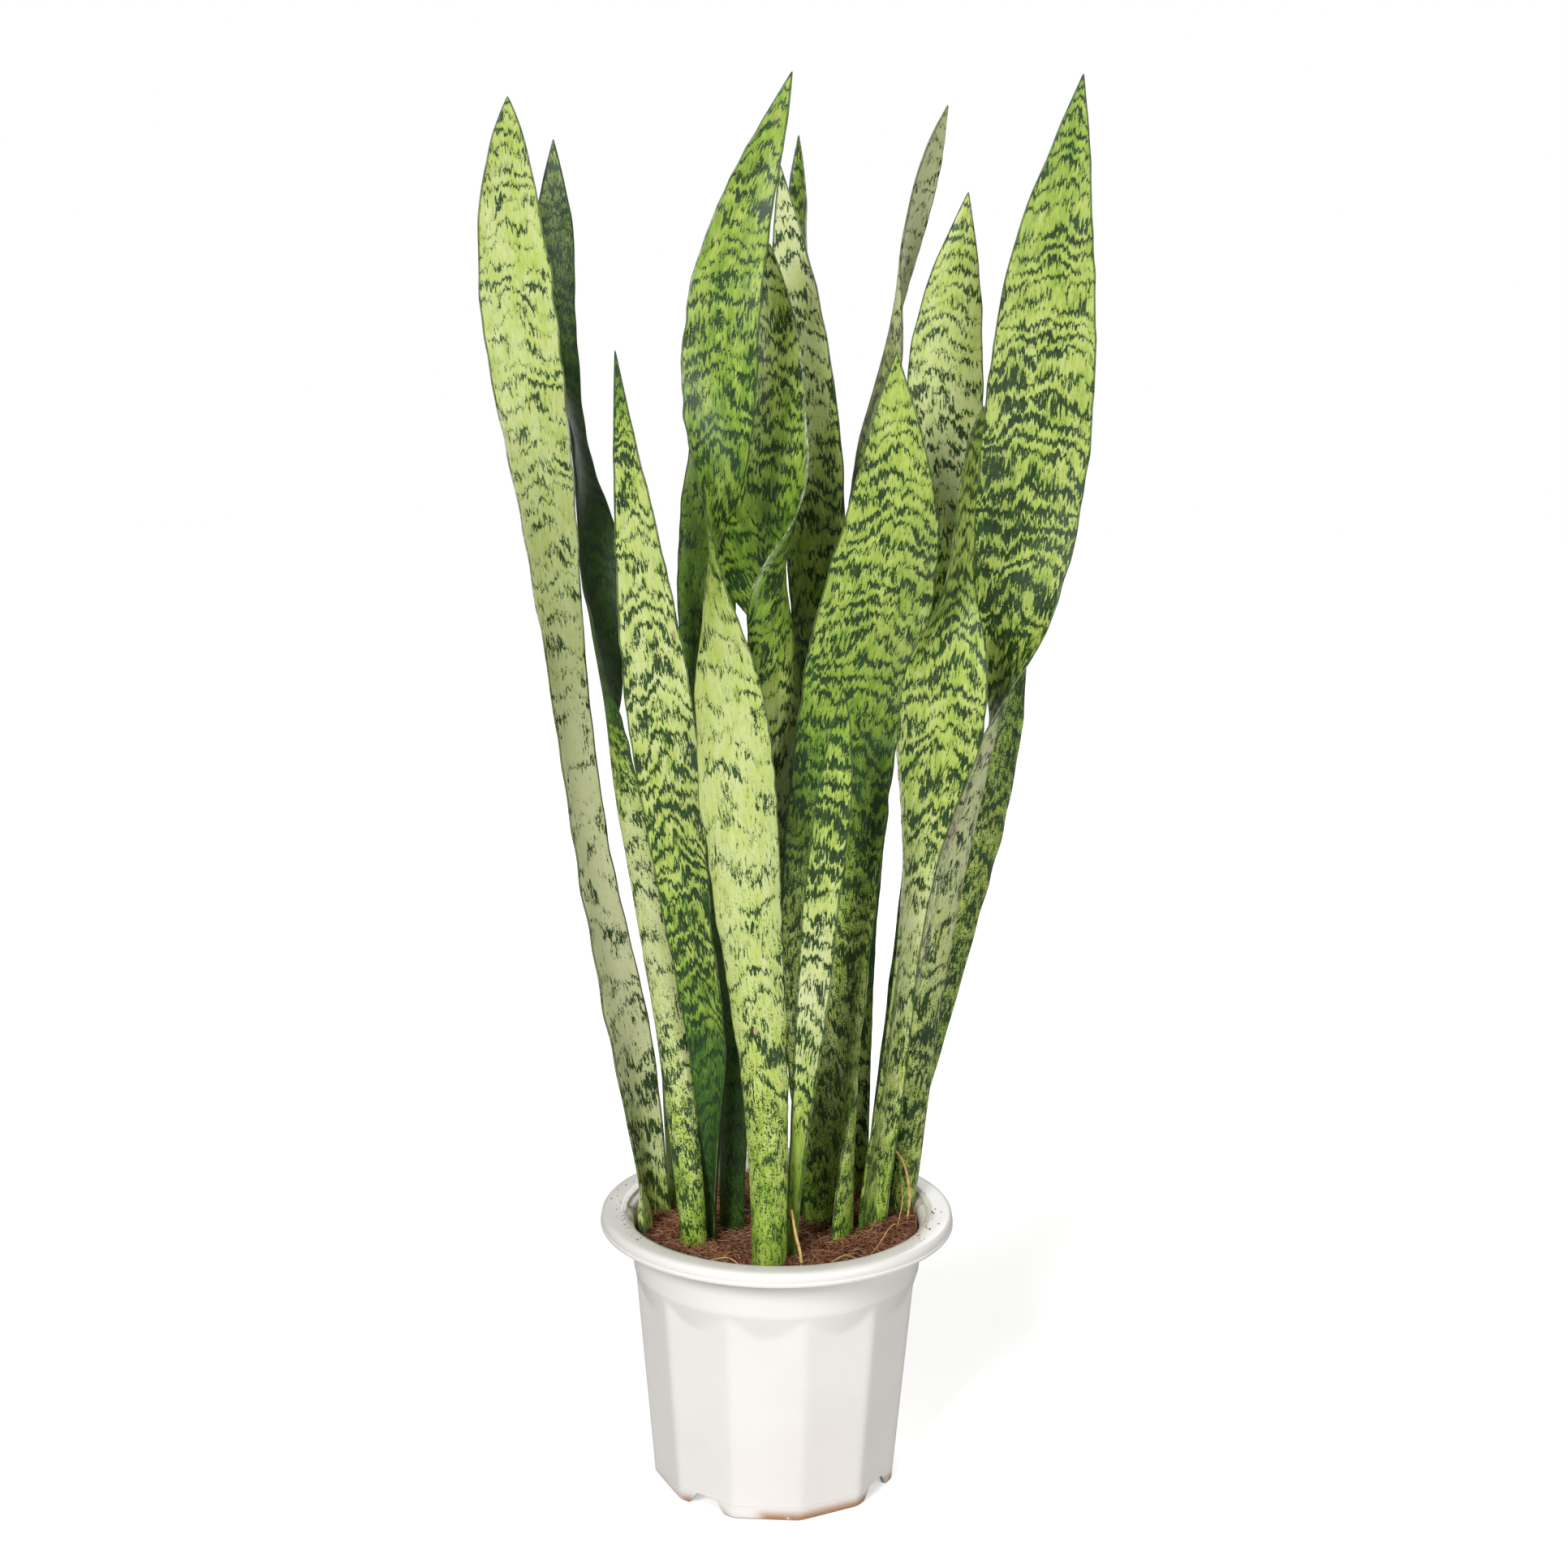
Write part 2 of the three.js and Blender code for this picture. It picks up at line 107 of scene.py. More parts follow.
class Tree:
    """Builds a node tree: nodes are added with their settings, and links are made by socket name."""

    def __init__(self, tree):
        self.tree = tree

    def add(self, kind, settings=None, **links):
        node = self.tree.nodes.new(kind)
        for key, value in (settings or {}).items():
            setattr(node, key, value)
        for key, value in links.items():
            self.feed(node.inputs[key.replace("_", " ")], value)
        return node

    def feed(self, socket, value):
        if isinstance(value, bpy.types.NodeSocket):
            self.tree.links.new(value, socket)
        elif isinstance(value, bpy.types.Node):
            self.tree.links.new(value.outputs[0], socket)
        else:
            socket.default_value = value

    def math(self, operation, a, b=None, c=None, clamp=False):
        node = self.tree.nodes.new("ShaderNodeMath")
        node.operation = operation
        node.use_clamp = clamp
        for socket, value in zip(node.inputs, (a, b, c)):
            if value is not None:
                self.feed(socket, value)
        return node.outputs[0]

    def plus(self, a, b):
        return self.math("ADD", a, b)

    def minus(self, a, b):
        return self.math("SUBTRACT", a, b)

    def times(self, a, b):
        return self.math("MULTIPLY", a, b)

    def over(self, a, b):
        return self.math("DIVIDE", a, b)

    def times_plus(self, a, b, c):
        return self.math("MULTIPLY_ADD", a, b, c)

    def split(self, vector):
        """The X, Y and Z of a vector."""
        node = self.tree.nodes.new("ShaderNodeSeparateXYZ")
        self.feed(node.inputs[0], vector)
        return node.outputs

    def attribute(self, name, output="Fac"):
        return self.add("ShaderNodeAttribute", {"attribute_name": name}).outputs[output]

    def vector(self, x=0.0, y=0.0, z=0.0):
        return self.add("ShaderNodeCombineXYZ", X=x, Y=y, Z=z).outputs[0]

    def ramp(self, value, low, high, soft=True):
        """0 below low, 1 above high."""
        node = self.tree.nodes.new("ShaderNodeMapRange")
        node.interpolation_type = "SMOOTHSTEP" if soft else "LINEAR"
        for key, item in (("Value", value), ("From Min", low), ("From Max", high)):
            self.feed(node.inputs[key], item)
        return node.outputs["Result"]

    def mix(self, share, a, b, blend="MIX"):
        node = self.tree.nodes.new("ShaderNodeMix")
        node.data_type = "RGBA"
        node.blend_type = blend
        self.feed(node.inputs[0], share)
        self.feed(node.inputs[6], a)
        self.feed(node.inputs[7], b)
        return node.outputs[2]

    def noise(self, vector, scale, detail=2.0, roughness=0.5, output="Factor"):
        node = self.tree.nodes.new("ShaderNodeTexNoise")
        self.feed(node.inputs["Vector"], vector)
        node.inputs["Scale"].default_value = scale
        node.inputs["Detail"].default_value = detail
        node.inputs["Roughness"].default_value = roughness
        return node.outputs[0 if output == "Factor" else 1]

    def group(self, group, **links):
        node = self.tree.nodes.new("ShaderNodeGroup")
        node.node_tree = group
        for key, value in links.items():
            self.feed(node.inputs[key.replace("_", " ")], value)
        return node


def new_group(name, inputs, outputs, family="ShaderNodeTree"):
    """A node group with named sockets: inputs and outputs are {name: kind or (kind, default)}."""
    group = bpy.data.node_groups.new(name, family)
    for direction, sockets in (("INPUT", inputs), ("OUTPUT", outputs)):
        for label, kind in sockets.items():
            default = None
            if isinstance(kind, tuple):
                kind, default = kind
            socket = group.interface.new_socket(label, in_out=direction, socket_type="NodeSocket" + kind)
            if default is not None:
                socket.default_value = default
    tree = Tree(group)
    start = group.nodes.new("NodeGroupInput")
    end = group.nodes.new("NodeGroupOutput")
    return tree, start.outputs, end.inputs


def new_material(name):
    material = bpy.data.materials.new(name)
    material.use_nodes = True
    material.node_tree.nodes.clear()
    tree = Tree(material.node_tree)
    output = tree.add("ShaderNodeOutputMaterial")
    shader = tree.add("ShaderNodeBsdfPrincipled")
    tree.feed(output.inputs["Surface"], shader.outputs[0])
    return material, tree, shader.inputs


# --------------------------------------------------------------------------------------------------
# Shader groups: effects that several finishes share
# --------------------------------------------------------------------------------------------------
def grain_group():
    """Fine relief for any skin: long fibres along one way and small pores, as a bump height."""
    tree, given, made = new_group(
        "fine_grain",
        {"Vector": "Vector", "Fibre Scale": ("Float", 1.0), "Pore Scale": ("Float", 1.0)},
        {"Height": "Float", "Fibre": "Float"},
    )
    fibre_at = tree.add("ShaderNodeVectorMath", {"operation": "SCALE"})
    tree.feed(fibre_at.inputs[0], given["Vector"])
    tree.feed(fibre_at.inputs["Scale"], given["Fibre Scale"])
    fibre = tree.noise(fibre_at.outputs[0], 1.0, 3.0, 0.6)
    pore_at = tree.add("ShaderNodeVectorMath", {"operation": "SCALE"})
    tree.feed(pore_at.inputs[0], given["Vector"])
    tree.feed(pore_at.inputs["Scale"], given["Pore Scale"])
    pore = tree.noise(pore_at.outputs[0], 1.0, 2.0, 0.6)
    tree.feed(made["Height"], tree.plus(tree.times(fibre, 0.7), tree.times(pore, 0.3)))
    tree.feed(made["Fibre"], fibre)
    return tree.tree


def specks_group():
    """Scattered small specks of dust or dirt: a mask that is 1 on a speck."""
    tree, given, made = new_group(
        "dust_specks",
        {"Vector": "Vector", "Spacing": ("Float", 8.0), "Size": ("Float", 0.12), "Amount": ("Float", 0.3)},
        {"Mask": "Float"},
    )
    place = tree.add("ShaderNodeVectorMath", {"operation": "DIVIDE"})
    tree.feed(place.inputs[0], given["Vector"])
    tree.feed(place.inputs[1], tree.vector(given["Spacing"], given["Spacing"], given["Spacing"]))
    cells = tree.add("ShaderNodeTexVoronoi", {"feature": "F1"}, Vector=place.outputs[0],
                     Scale=1.0, Randomness=1.0)
    pick = tree.add("ShaderNodeSeparateColor")
    tree.feed(pick.inputs[0], cells.outputs["Color"])
    chosen = tree.math("LESS_THAN", pick.outputs[0], given["Amount"])
    size = tree.times(given["Size"], tree.plus(pick.outputs[1], 0.35))
    spot = tree.minus(1.0, tree.ramp(tree.over(cells.outputs["Distance"], size), 0.6, 1.0))
    tree.feed(made["Mask"], tree.times(chosen, spot))
    return tree.tree


def cloud_group():
    """Uneven cover, such as a stain: a mask with ragged edges that grows as Amount goes from 0 to 1."""
    tree, given, made = new_group(
        "ragged_cover",
        {"Vector": "Vector", "Scale": ("Float", 1.0), "Amount": ("Float", 0.3), "Softness": ("Float", 0.1)},
        {"Mask": "Float"},
    )
    place = tree.add("ShaderNodeVectorMath", {"operation": "SCALE"})
    tree.feed(place.inputs[0], given["Vector"])
    tree.feed(place.inputs["Scale"], given["Scale"])
    cloud = tree.noise(place.outputs[0], 1.0, 5.0, 0.65)
    edge = tree.minus(0.85, tree.times(given["Amount"], 0.7))
    high = tree.plus(edge, given["Softness"])
    tree.feed(made["Mask"], tree.ramp(cloud, edge, high))
    return tree.tree


def band_group():
    """Dark cross bands of a snake plant leaf. Skin is (across mm, along mm, band count from the foot)."""
    tree, given, made = new_group(
        "leaf_bands",
        {"Skin": "Vector", "Seed": "Float", "Cover": ("Float", 0.3), "Speckle": ("Float", 0.2)},
        {"Mask": "Float", "Halo": "Float", "Streak": "Float", "Blotch": "Float"},
    )
    across, along, count = tree.split(given["Skin"])

    def field(step_across, step_along, lift, detail, roughness=0.55):
        place = tree.vector(
            tree.over(across, step_across),
            tree.over(along, step_along),
            tree.plus(given["Seed"], lift),
        )
        return tree.minus(tree.noise(place, 1.0, detail, roughness), 0.5)

    streak = field(0.62, 4.2, 0.0, 2.0, 0.55)
    tooth = field(1.5, 9.5, 3.7, 1.0)
    blotch = field(4.6, 5.5, 7.3, 3.0, 0.6)
    wave = field(16.0, 30.0, 13.1, 1.0)
    patch = field(11.0, 17.0, 19.9, 2.0)
    grit = field(0.6, 0.95, 29.3, 1.0)

    shift = tree.times(wave, 2.8)
    shift = tree.times_plus(blotch, 0.7, shift)
    shift = tree.times_plus(tooth, 1.3, shift)
    shift = tree.times_plus(streak, 0.9, shift)
    turn = tree.math("FRACT", tree.plus(count, shift))
    near = tree.minus(1.0, tree.math("ABSOLUTE", tree.times_plus(turn, 2.0, -1.0)))
    score = tree.times_plus(streak, 1.0, near)
    score = tree.times_plus(patch, 1.5, score)
    score = tree.times_plus(blotch, 0.8, score)
    score = tree.times_plus(grit, 0.6, score)
    edge = tree.minus(1.02, given["Cover"])
    band = tree.ramp(score, tree.minus(edge, 0.02), tree.plus(edge, 0.11))
    halo = tree.ramp(score, tree.minus(edge, 0.45), tree.plus(edge, 0.05))

    speck = tree.times_plus(streak, 0.9, tree.times(grit, 1.25))
    speck = tree.times_plus(blotch, 0.55, speck)
    bound = tree.times_plus(given["Speckle"], -0.9, 0.45)
    fleck = tree.ramp(speck, bound, tree.plus(bound, 0.16))
    tree.feed(made["Mask"], tree.math("MAXIMUM", band, fleck))
    tree.feed(made["Halo"], halo)
    tree.feed(made["Streak"], streak)
    tree.feed(made["Blotch"], blotch)
    return tree.tree


GRAIN = grain_group()
SPECKS = specks_group()
CLOUD = cloud_group()
BANDS = band_group()


# --------------------------------------------------------------------------------------------------
# Finishes
# --------------------------------------------------------------------------------------------------
def leaf_finish():
    """Waxy leaf skin. Reads the attributes skin, paint (tone and painted shade, cover, speckle), seed, rim and
    marks.
    """
    material, tree, shader = new_material("leaf_skin")
    skin = tree.attribute("skin", "Vector")
    tone_and_shade, cover, speckle = tree.split(tree.attribute("paint", "Vector"))
    seed = tree.attribute("seed")
    rim = tree.attribute("rim")
    purple, pale, rib = tree.split(tree.attribute("marks", "Vector"))
    bands = tree.group(BANDS, Skin=skin, Seed=seed, Cover=cover, Speckle=speckle)

    place = tree.split(skin)
    fibre_at = tree.vector(place[0], tree.times(place[1], 0.07), seed)
    grain = tree.group(GRAIN, Vector=fibre_at, Fibre_Scale=1.3, Pore_Scale=3.1)

    # light ground colour, pale to deep, mottled along the fibres; the tone carries painted shade too
    cloud_at = tree.vector(
        tree.over(place[0], 5.0),
        tree.over(place[1], 19.0),
        tree.plus(seed, 41.0),
    )
    cloud = tree.minus(tree.noise(cloud_at, 1.0, 3.0, 0.6), 0.5)
    unevenness = tree.times_plus(tree.ramp(tone_and_shade, 0.0, 0.4), 0.55, 0.2)
    mottled = tree.times_plus(cloud, unevenness, tone_and_shade)
    mottled = tree.times_plus(bands.outputs["Streak"], tree.times(unevenness, 0.5), mottled)
    ground = tree.add("ShaderNodeValToRGB")
    tree.feed(ground.inputs[0], mottled)
    stops = [(0.0, "dfe2b2"), (0.25, "ccd78e"), (0.45, "bccd66"), (0.7, "8fae3c"), (1.0, "3f6b1d")]
    ramp = ground.color_ramp
    ramp.elements[0].position, ramp.elements[0].color = stops[0][0], linear(stops[0][1])
    ramp.elements[1].position, ramp.elements[1].color = stops[-1][0], linear(stops[-1][1])
    for position, code in stops[1:-1]:
        ramp.elements.new(position).color = linear(code)
    depth = tree.times_plus(tree.ramp(tone_and_shade, 0.0, 0.5), 0.7, 0.3)
    fine = tree.times(tree.ramp(grain.outputs["Fibre"], 0.58, 0.8), tree.times(depth, 0.35))
    colour = tree.mix(fine, ground.outputs[0], linear("5f8230"))
    halo = tree.times(bands.outputs["Halo"], tree.times(depth, 0.42))
    colour = tree.mix(halo, colour, linear("4f7d26"))

    # dark bands and flecks
    dark = tree.mix(tree.ramp(bands.outputs["Blotch"], -0.12, 0.18), linear("14300f"), linear("294a19"))
    dark = tree.mix(tree.times(tree.ramp(grain.outputs["Fibre"], 0.5, 0.8), 0.3), dark, linear("426a24"))
    colour = tree.mix(tree.times(bands.outputs["Mask"], 0.98), colour, dark)

    # dark line inside the margin, with a thin pale lip
    edge_noise = tree.noise(fibre_at, 0.9, 2.0)
    line = tree.minus(1.0, tree.ramp(tree.times_plus(edge_noise, -0.6, rim), 0.05, 0.5))
    colour = tree.mix(tree.times(line, 0.8), colour, linear("2c4a18"))
    lip = tree.minus(1.0, tree.ramp(rim, -0.28, -0.1))
    lip = tree.times(tree.times(lip, 0.55), tree.ramp(edge_noise, 0.5, 0.66))
    colour = tree.mix(lip, colour, linear("bfbf94"))

    # marks broken up along the fibres: grey-purple (partly painted sheen), painted highlight strips, a green
    # midrib
    torn = tree.times_plus(bands.outputs["Streak"], 1.6, tree.times(cloud, 1.2))
    # grey-purple is partly painted sheen on folds and partly the blade's own colour
    purple_and_sheen_share = tree.ramp(tree.plus(purple, tree.times(torn, 0.6)), 0.3, 0.75)
    purple_and_sheen_share = tree.times(purple_and_sheen_share, tree.ramp(purple, 0.02, 0.2))
    colour = tree.mix(tree.times(purple_and_sheen_share, 0.85), colour, linear("736c66"))
    # pale strips are painted highlight along rolled margins
    painted_highlight_share = tree.ramp(tree.plus(pale, tree.times(torn, 0.6)), 0.3, 0.75)
    painted_highlight_share = tree.times(painted_highlight_share, tree.ramp(pale, 0.02, 0.2))
    colour = tree.mix(tree.times(painted_highlight_share, 0.75), colour, linear("dbe0c0"))
    rib_share = tree.ramp(tree.plus(rib, tree.times(torn, 0.5)), 0.35, 0.6)
    rib_share = tree.times(rib_share, tree.ramp(rib, 0.02, 0.2))
    colour = tree.mix(tree.times(rib_share, 0.85), colour, linear("2f6a14"))

    # painted shade: where the tone goes above 1, blades deep in the clump are darkened all over
    painted_shade = tree.times(tree.ramp(tone_and_shade, 0.95, 1.35), 0.62)
    colour = tree.mix(painted_shade, colour, linear("1c2a10"))

    # faint pale scratches and a few small brown scars
    scar_at = tree.vector(tree.over(place[0], 2.2), tree.over(place[1], 4.5), seed)
    scar = tree.group(SPECKS, Vector=scar_at, Spacing=6.0, Size=0.09, Amount=0.14)
    colour = tree.mix(tree.times(scar.outputs[0], 0.8), colour, linear("b99a78"))
    scratch_at = tree.vector(tree.over(place[0], 0.5), tree.over(place[1], 9.0), seed)
    scratch = tree.ramp(tree.noise(scratch_at, 1.0, 1.0), 0.72, 0.8)
    colour = tree.mix(tree.times(scratch, 0.35), colour, linear("cfd8a8"))
    tree.feed(shader["Base Color"], colour)
    rough = tree.times_plus(grain.outputs["Fibre"], 0.22, 0.26)
    tree.feed(shader["Roughness"], tree.times_plus(bands.outputs["Mask"], 0.05, rough))
    bump = tree.add("ShaderNodeBump", Strength=0.35, Distance=0.0004)
    relief = tree.times_plus(bands.outputs["Mask"], -0.12, grain.outputs["Height"])
    tree.feed(bump.inputs["Height"], relief)
    tree.feed(shader["Normal"], bump.outputs[0])
    shader["Specular IOR Level"].default_value = 0.5
    return material


LEAF_SKIN = leaf_finish()


# --------------------------------------------------------------------------------------------------
# Leaves: each CAD leaf's sections, drawn again as a fine curved blade with rounded margins
# --------------------------------------------------------------------------------------------------
# Height in mm, tone (0 pale, 1 deep green; also painted shade where the blade lies in shade, and above 1
# darkened further as painted shade), share of dark bands, share of dark flecks, mm from band to band
LEAF_LOOKS = {
    "leaf_left_tall": (1.3, [
        (112, 0.74, 0.40, 0.40, 18), (150, 0.50, 0.50, 0.36, 20), (180, 0.26, 0.46, 0.28, 20),
        (230, 0.08, 0.34, 0.20, 21), (300, 0.00, 0.16, 0.16, 24), (400, 0.00, 0.12, 0.10, 19),
        (470, 0.20, 0.20, 0.05, 13), (600, 0.36, 0.18, 0.04, 11), (700, 0.36, 0.14, 0.05, 10),
        (759, 0.50, 0.34, 0.15, 8)]),
    "leaf_left_twisted": (7.1, [
        (112, 0.84, 0.22, 0.48, 18), (190, 0.50, 0.38, 0.50, 19), (240, 0.30, 0.38, 0.42, 20),
        (300, 0.20, 0.24, 0.30, 20), (370, 0.22, 0.30, 0.30, 18), (415, 0.60, 0.50, 0.45, 14),
        (450, 1.30, 0.50, 0.40, 13), (600, 1.25, 0.50, 0.45, 11), (640, 0.95, 0.50, 0.50, 10),
        (743, 0.72, 0.50, 0.45, 9)]),
    "leaf_left_short": (12.9, [
        (112, 1.20, 0.55, 0.50, 15), (180, 1.20, 0.55, 0.45, 13), (250, 0.95, 0.56, 0.40, 12),
        (300, 0.62, 0.52, 0.28, 11), (400, 0.40, 0.50, 0.16, 11), (450, 0.30, 0.40, 0.12, 14),
        (545, 0.36, 0.32, 0.10, 13), (575, 0.50, 0.50, 0.25, 8), (600, 0.80, 0.50, 0.40, 8),
        (626, 0.85, 0.50, 0.45, 8)]),
    "leaf_left_inner": (19.2, [
        (112, 1.10, 0.50, 0.50, 15), (200, 1.20, 0.45, 0.45, 16), (400, 1.10, 0.36, 0.30, 17),
        (560, 0.80, 0.30, 0.20, 17), (650, 0.80, 0.30, 0.22, 14)]),
    "leaf_centre_tall": (25.4, [
        (112, 0.86, 0.04, 0.34, 20), (150, 0.74, 0.14, 0.42, 20), (200, 0.56, 0.28, 0.46, 20),
        (240, 0.50, 0.46, 0.42, 20), (280, 0.36, 0.34, 0.30, 20), (340, 0.30, 0.20, 0.26, 22),
        (480, 0.36, 0.12, 0.14, 20), (520, 0.62, 0.36, 0.36, 14), (570, 0.80, 0.48, 0.30, 12),
        (640, 0.68, 0.44, 0.20, 11), (762, 0.66, 0.30, 0.14, 10)]),
    "leaf_centre_hollow": (31.8, [
        (112, 0.85, 0.50, 0.55, 18), (300, 0.50, 0.45, 0.40, 17), (410, 0.25, 0.30, 0.25, 16),
        (450, 0.45, 0.30, 0.20, 14), (490, 0.75, 0.46, 0.26, 12), (540, 0.80, 0.46, 0.24, 11),
        (580, 0.62, 0.44, 0.22, 11), (640, 0.48, 0.36, 0.18, 11), (683, 0.45, 0.34, 0.20, 10)]),
    "leaf_back_pale": (37.5, [
        (112, 0.80, 0.50, 0.50, 18), (400, 0.60, 0.46, 0.30, 14), (500, 0.66, 0.46, 0.30, 13),
        (560, 0.50, 0.40, 0.22, 12), (600, 0.34, 0.36, 0.18, 12), (650, 0.26, 0.32, 0.14, 11),
        (700, 0.12, 0.30, 0.12, 10), (727, 0.20, 0.34, 0.20, 9)]),
    "leaf_back_dark": (43.7, [
        (112, 0.85, 0.50, 0.50, 18), (500, 0.75, 0.50, 0.40, 16), (650, 0.60, 0.50, 0.36, 14),
        (720, 0.62, 0.46, 0.40, 11), (747, 0.80, 0.50, 0.50, 9)]),
    "leaf_back_thin": (49.1, [
        (112, 0.60, 0.50, 0.50, 18), (200, 0.20, 0.40, 0.30, 18), (300, 1.10, 0.50, 0.40, 16),
        (450, 0.85, 0.50, 0.40, 14), (620, 0.50, 0.40, 0.25, 12), (660, 0.05, 0.20, 0.08, 9),
        (761, 0.12, 0.18, 0.06, 8)]),
    "leaf_front_broad": (55.9, [
        (112, 0.82, 0.24, 0.46, 18), (180, 0.55, 0.38, 0.50, 18), (250, 0.34, 0.42, 0.50, 19),
        (300, 0.46, 0.46, 0.50, 17), (340, 0.56, 0.48, 0.46, 14), (375, 0.80, 0.54, 0.46, 12),
        (410, 0.84, 0.52, 0.40, 11), (450, 0.66, 0.46, 0.28, 10.5), (490, 0.56, 0.42, 0.16, 10),
        (560, 0.52, 0.36, 0.10, 9.5), (600, 0.50, 0.20, 0.06, 9), (627, 0.60, 0.34, 0.20, 8)]),
    "leaf_right_back": (61.3, [
        (112, 0.80, 0.50, 0.50, 18), (300, 0.70, 0.46, 0.42, 16), (480, 0.75, 0.44, 0.36, 13),
        (530, 0.30, 0.40, 0.25, 12), (570, 0.15, 0.34, 0.16, 11), (620, 0.30, 0.28, 0.10, 10),
        (713, 0.50, 0.30, 0.12, 8)]),
    "leaf_right_twisted": (67.7, [
        (112, 0.82, 0.24, 0.46, 18), (200, 0.48, 0.40, 0.48, 18), (260, 0.34, 0.42, 0.42, 18),
        (330, 0.20, 0.24, 0.26, 17), (370, 0.34, 0.50, 0.34, 15), (410, 0.50, 0.50, 0.26, 13),
        (450, 0.46, 0.38, 0.16, 11.5), (500, 0.60, 0.46, 0.20, 10), (540, 0.45, 0.40, 0.22, 10),
        (600, 0.70, 0.45, 0.40, 9)]),
    "leaf_front_small": (73.2, [
        (112, 0.80, 0.05, 0.06, 13), (165, 0.72, 0.06, 0.06, 13), (205, 0.62, 0.06, 0.05, 14),
        (225, 0.50, 0.30, 0.12, 14), (250, 0.32, 0.44, 0.12, 14), (290, 0.14, 0.42, 0.08, 14),
        (335, 0.30, 0.48, 0.12, 14), (370, 0.48, 0.58, 0.18, 12), (410, 0.55, 0.60, 0.28, 11),
        (430, 0.70, 0.42, 0.30, 10), (457, 0.72, 0.30, 0.30, 8)]),
    "leaf_right_tall": (79.6, [
        (112, 0.80, 0.50, 0.50, 18), (180, 0.50, 0.50, 0.50, 18), (250, 0.38, 0.52, 0.46, 18),
        (300, 0.30, 0.36, 0.34, 20), (360, 0.10, 0.22, 0.20, 20), (420, 0.10, 0.24, 0.18, 15),
        (445, 0.40, 0.50, 0.28, 13), (480, 0.52, 0.66, 0.30, 13), (530, 0.52, 0.64, 0.28, 12),
        (560, 0.50, 0.58, 0.22, 11), (600, 0.46, 0.50, 0.16, 11), (640, 0.46, 0.42, 0.12, 10),
        (700, 0.58, 0.34, 0.10, 9), (768, 0.66, 0.30, 0.12, 8)]),
    "leaf_right_low": (85.0, [
        (112, 0.70, 0.50, 0.50, 18), (300, 0.55, 0.46, 0.50, 18), (370, 0.50, 0.46, 0.50, 18),
        (430, 0.70, 0.48, 0.50, 16), (497, 0.70, 0.45, 0.50, 12)]),
    "leaf_left_offset": (91.4, [
        (112, 0.76, 0.08, 0.25, 16), (200, 0.68, 0.14, 0.30, 15), (310, 0.66, 0.30, 0.35, 13)]),
    "sheath_left": (97.6, [
        (112, 0.50, 0.04, 0.10, 12), (140, 0.42, 0.06, 0.12, 12), (168, 0.40, 0.12, 0.16, 10)]),
}

# Marks: kind, from and to height in mm, face, from and to across (-1 is one margin, 1 the other), strength
# pale marks are painted highlight; purple marks are partly painted sheen and partly the blade's own grey-purple
LEAF_MARKS = {
    "leaf_left_tall": [("pale", 470, 600, "both", 0.88, 1.2, 0.5),
                       ("pale", 470, 600, "both", -1.2, -0.88, 0.5)],
    "leaf_left_short": [("rib", 300, 450, "inner", -0.05, 0.05, 0.7)],
    "leaf_centre_tall": [("pale", 600, 700, "inner", -1.2, -0.93, 0.45),
                         ("pale", 300, 470, "outer", 0.1, 0.3, 0.35),
                         ("purple", 505, 540, "both", 0.6, 1.2, 0.5)],
    "leaf_centre_hollow": [("pale", 500, 640, "both", 0.9, 1.2, 0.5),
                           ("purple", 540, 610, "inner", 0.55, 0.65, 0.5)],
    "leaf_back_thin": [("purple", 540, 650, "outer", -1.2, 1.2, 0.55)],
    "leaf_right_tall": [("purple", 270, 420, "outer", 0.66, 1.2, 0.55),
                        ("pale", 300, 450, "both", 0.94, 1.2, 0.55)],
    "leaf_right_twisted": [("pale", 300, 430, "both", -1.2, -0.9, 0.5)],
    "leaf_right_low": [("purple", 200, 400, "outer", 0.6, 1.2, 0.3)],
    "sheath_left": [("purple", 112, 150, "both", -1.2, 1.2, 0.4)],
}

CHEVRON = 0.32
STEEP_CHEVRONS = {"leaf_left_short": 0.8}
ROW_STEP = 2.5
FACE_COLUMNS = 23
MARGIN_HALF_THICK = 0.32
LIP_POINTS = 3
MARK_SOFT = 0.1
MARK_FADE = 12
MARGIN_WAVER = 1.3
MARGIN_SWAY = 0.7
BLADE_LOW = np.array(CAD_LOW) / MM + 0.1
BLADE_HIGH = np.array(CAD_HIGH) / MM - 0.1


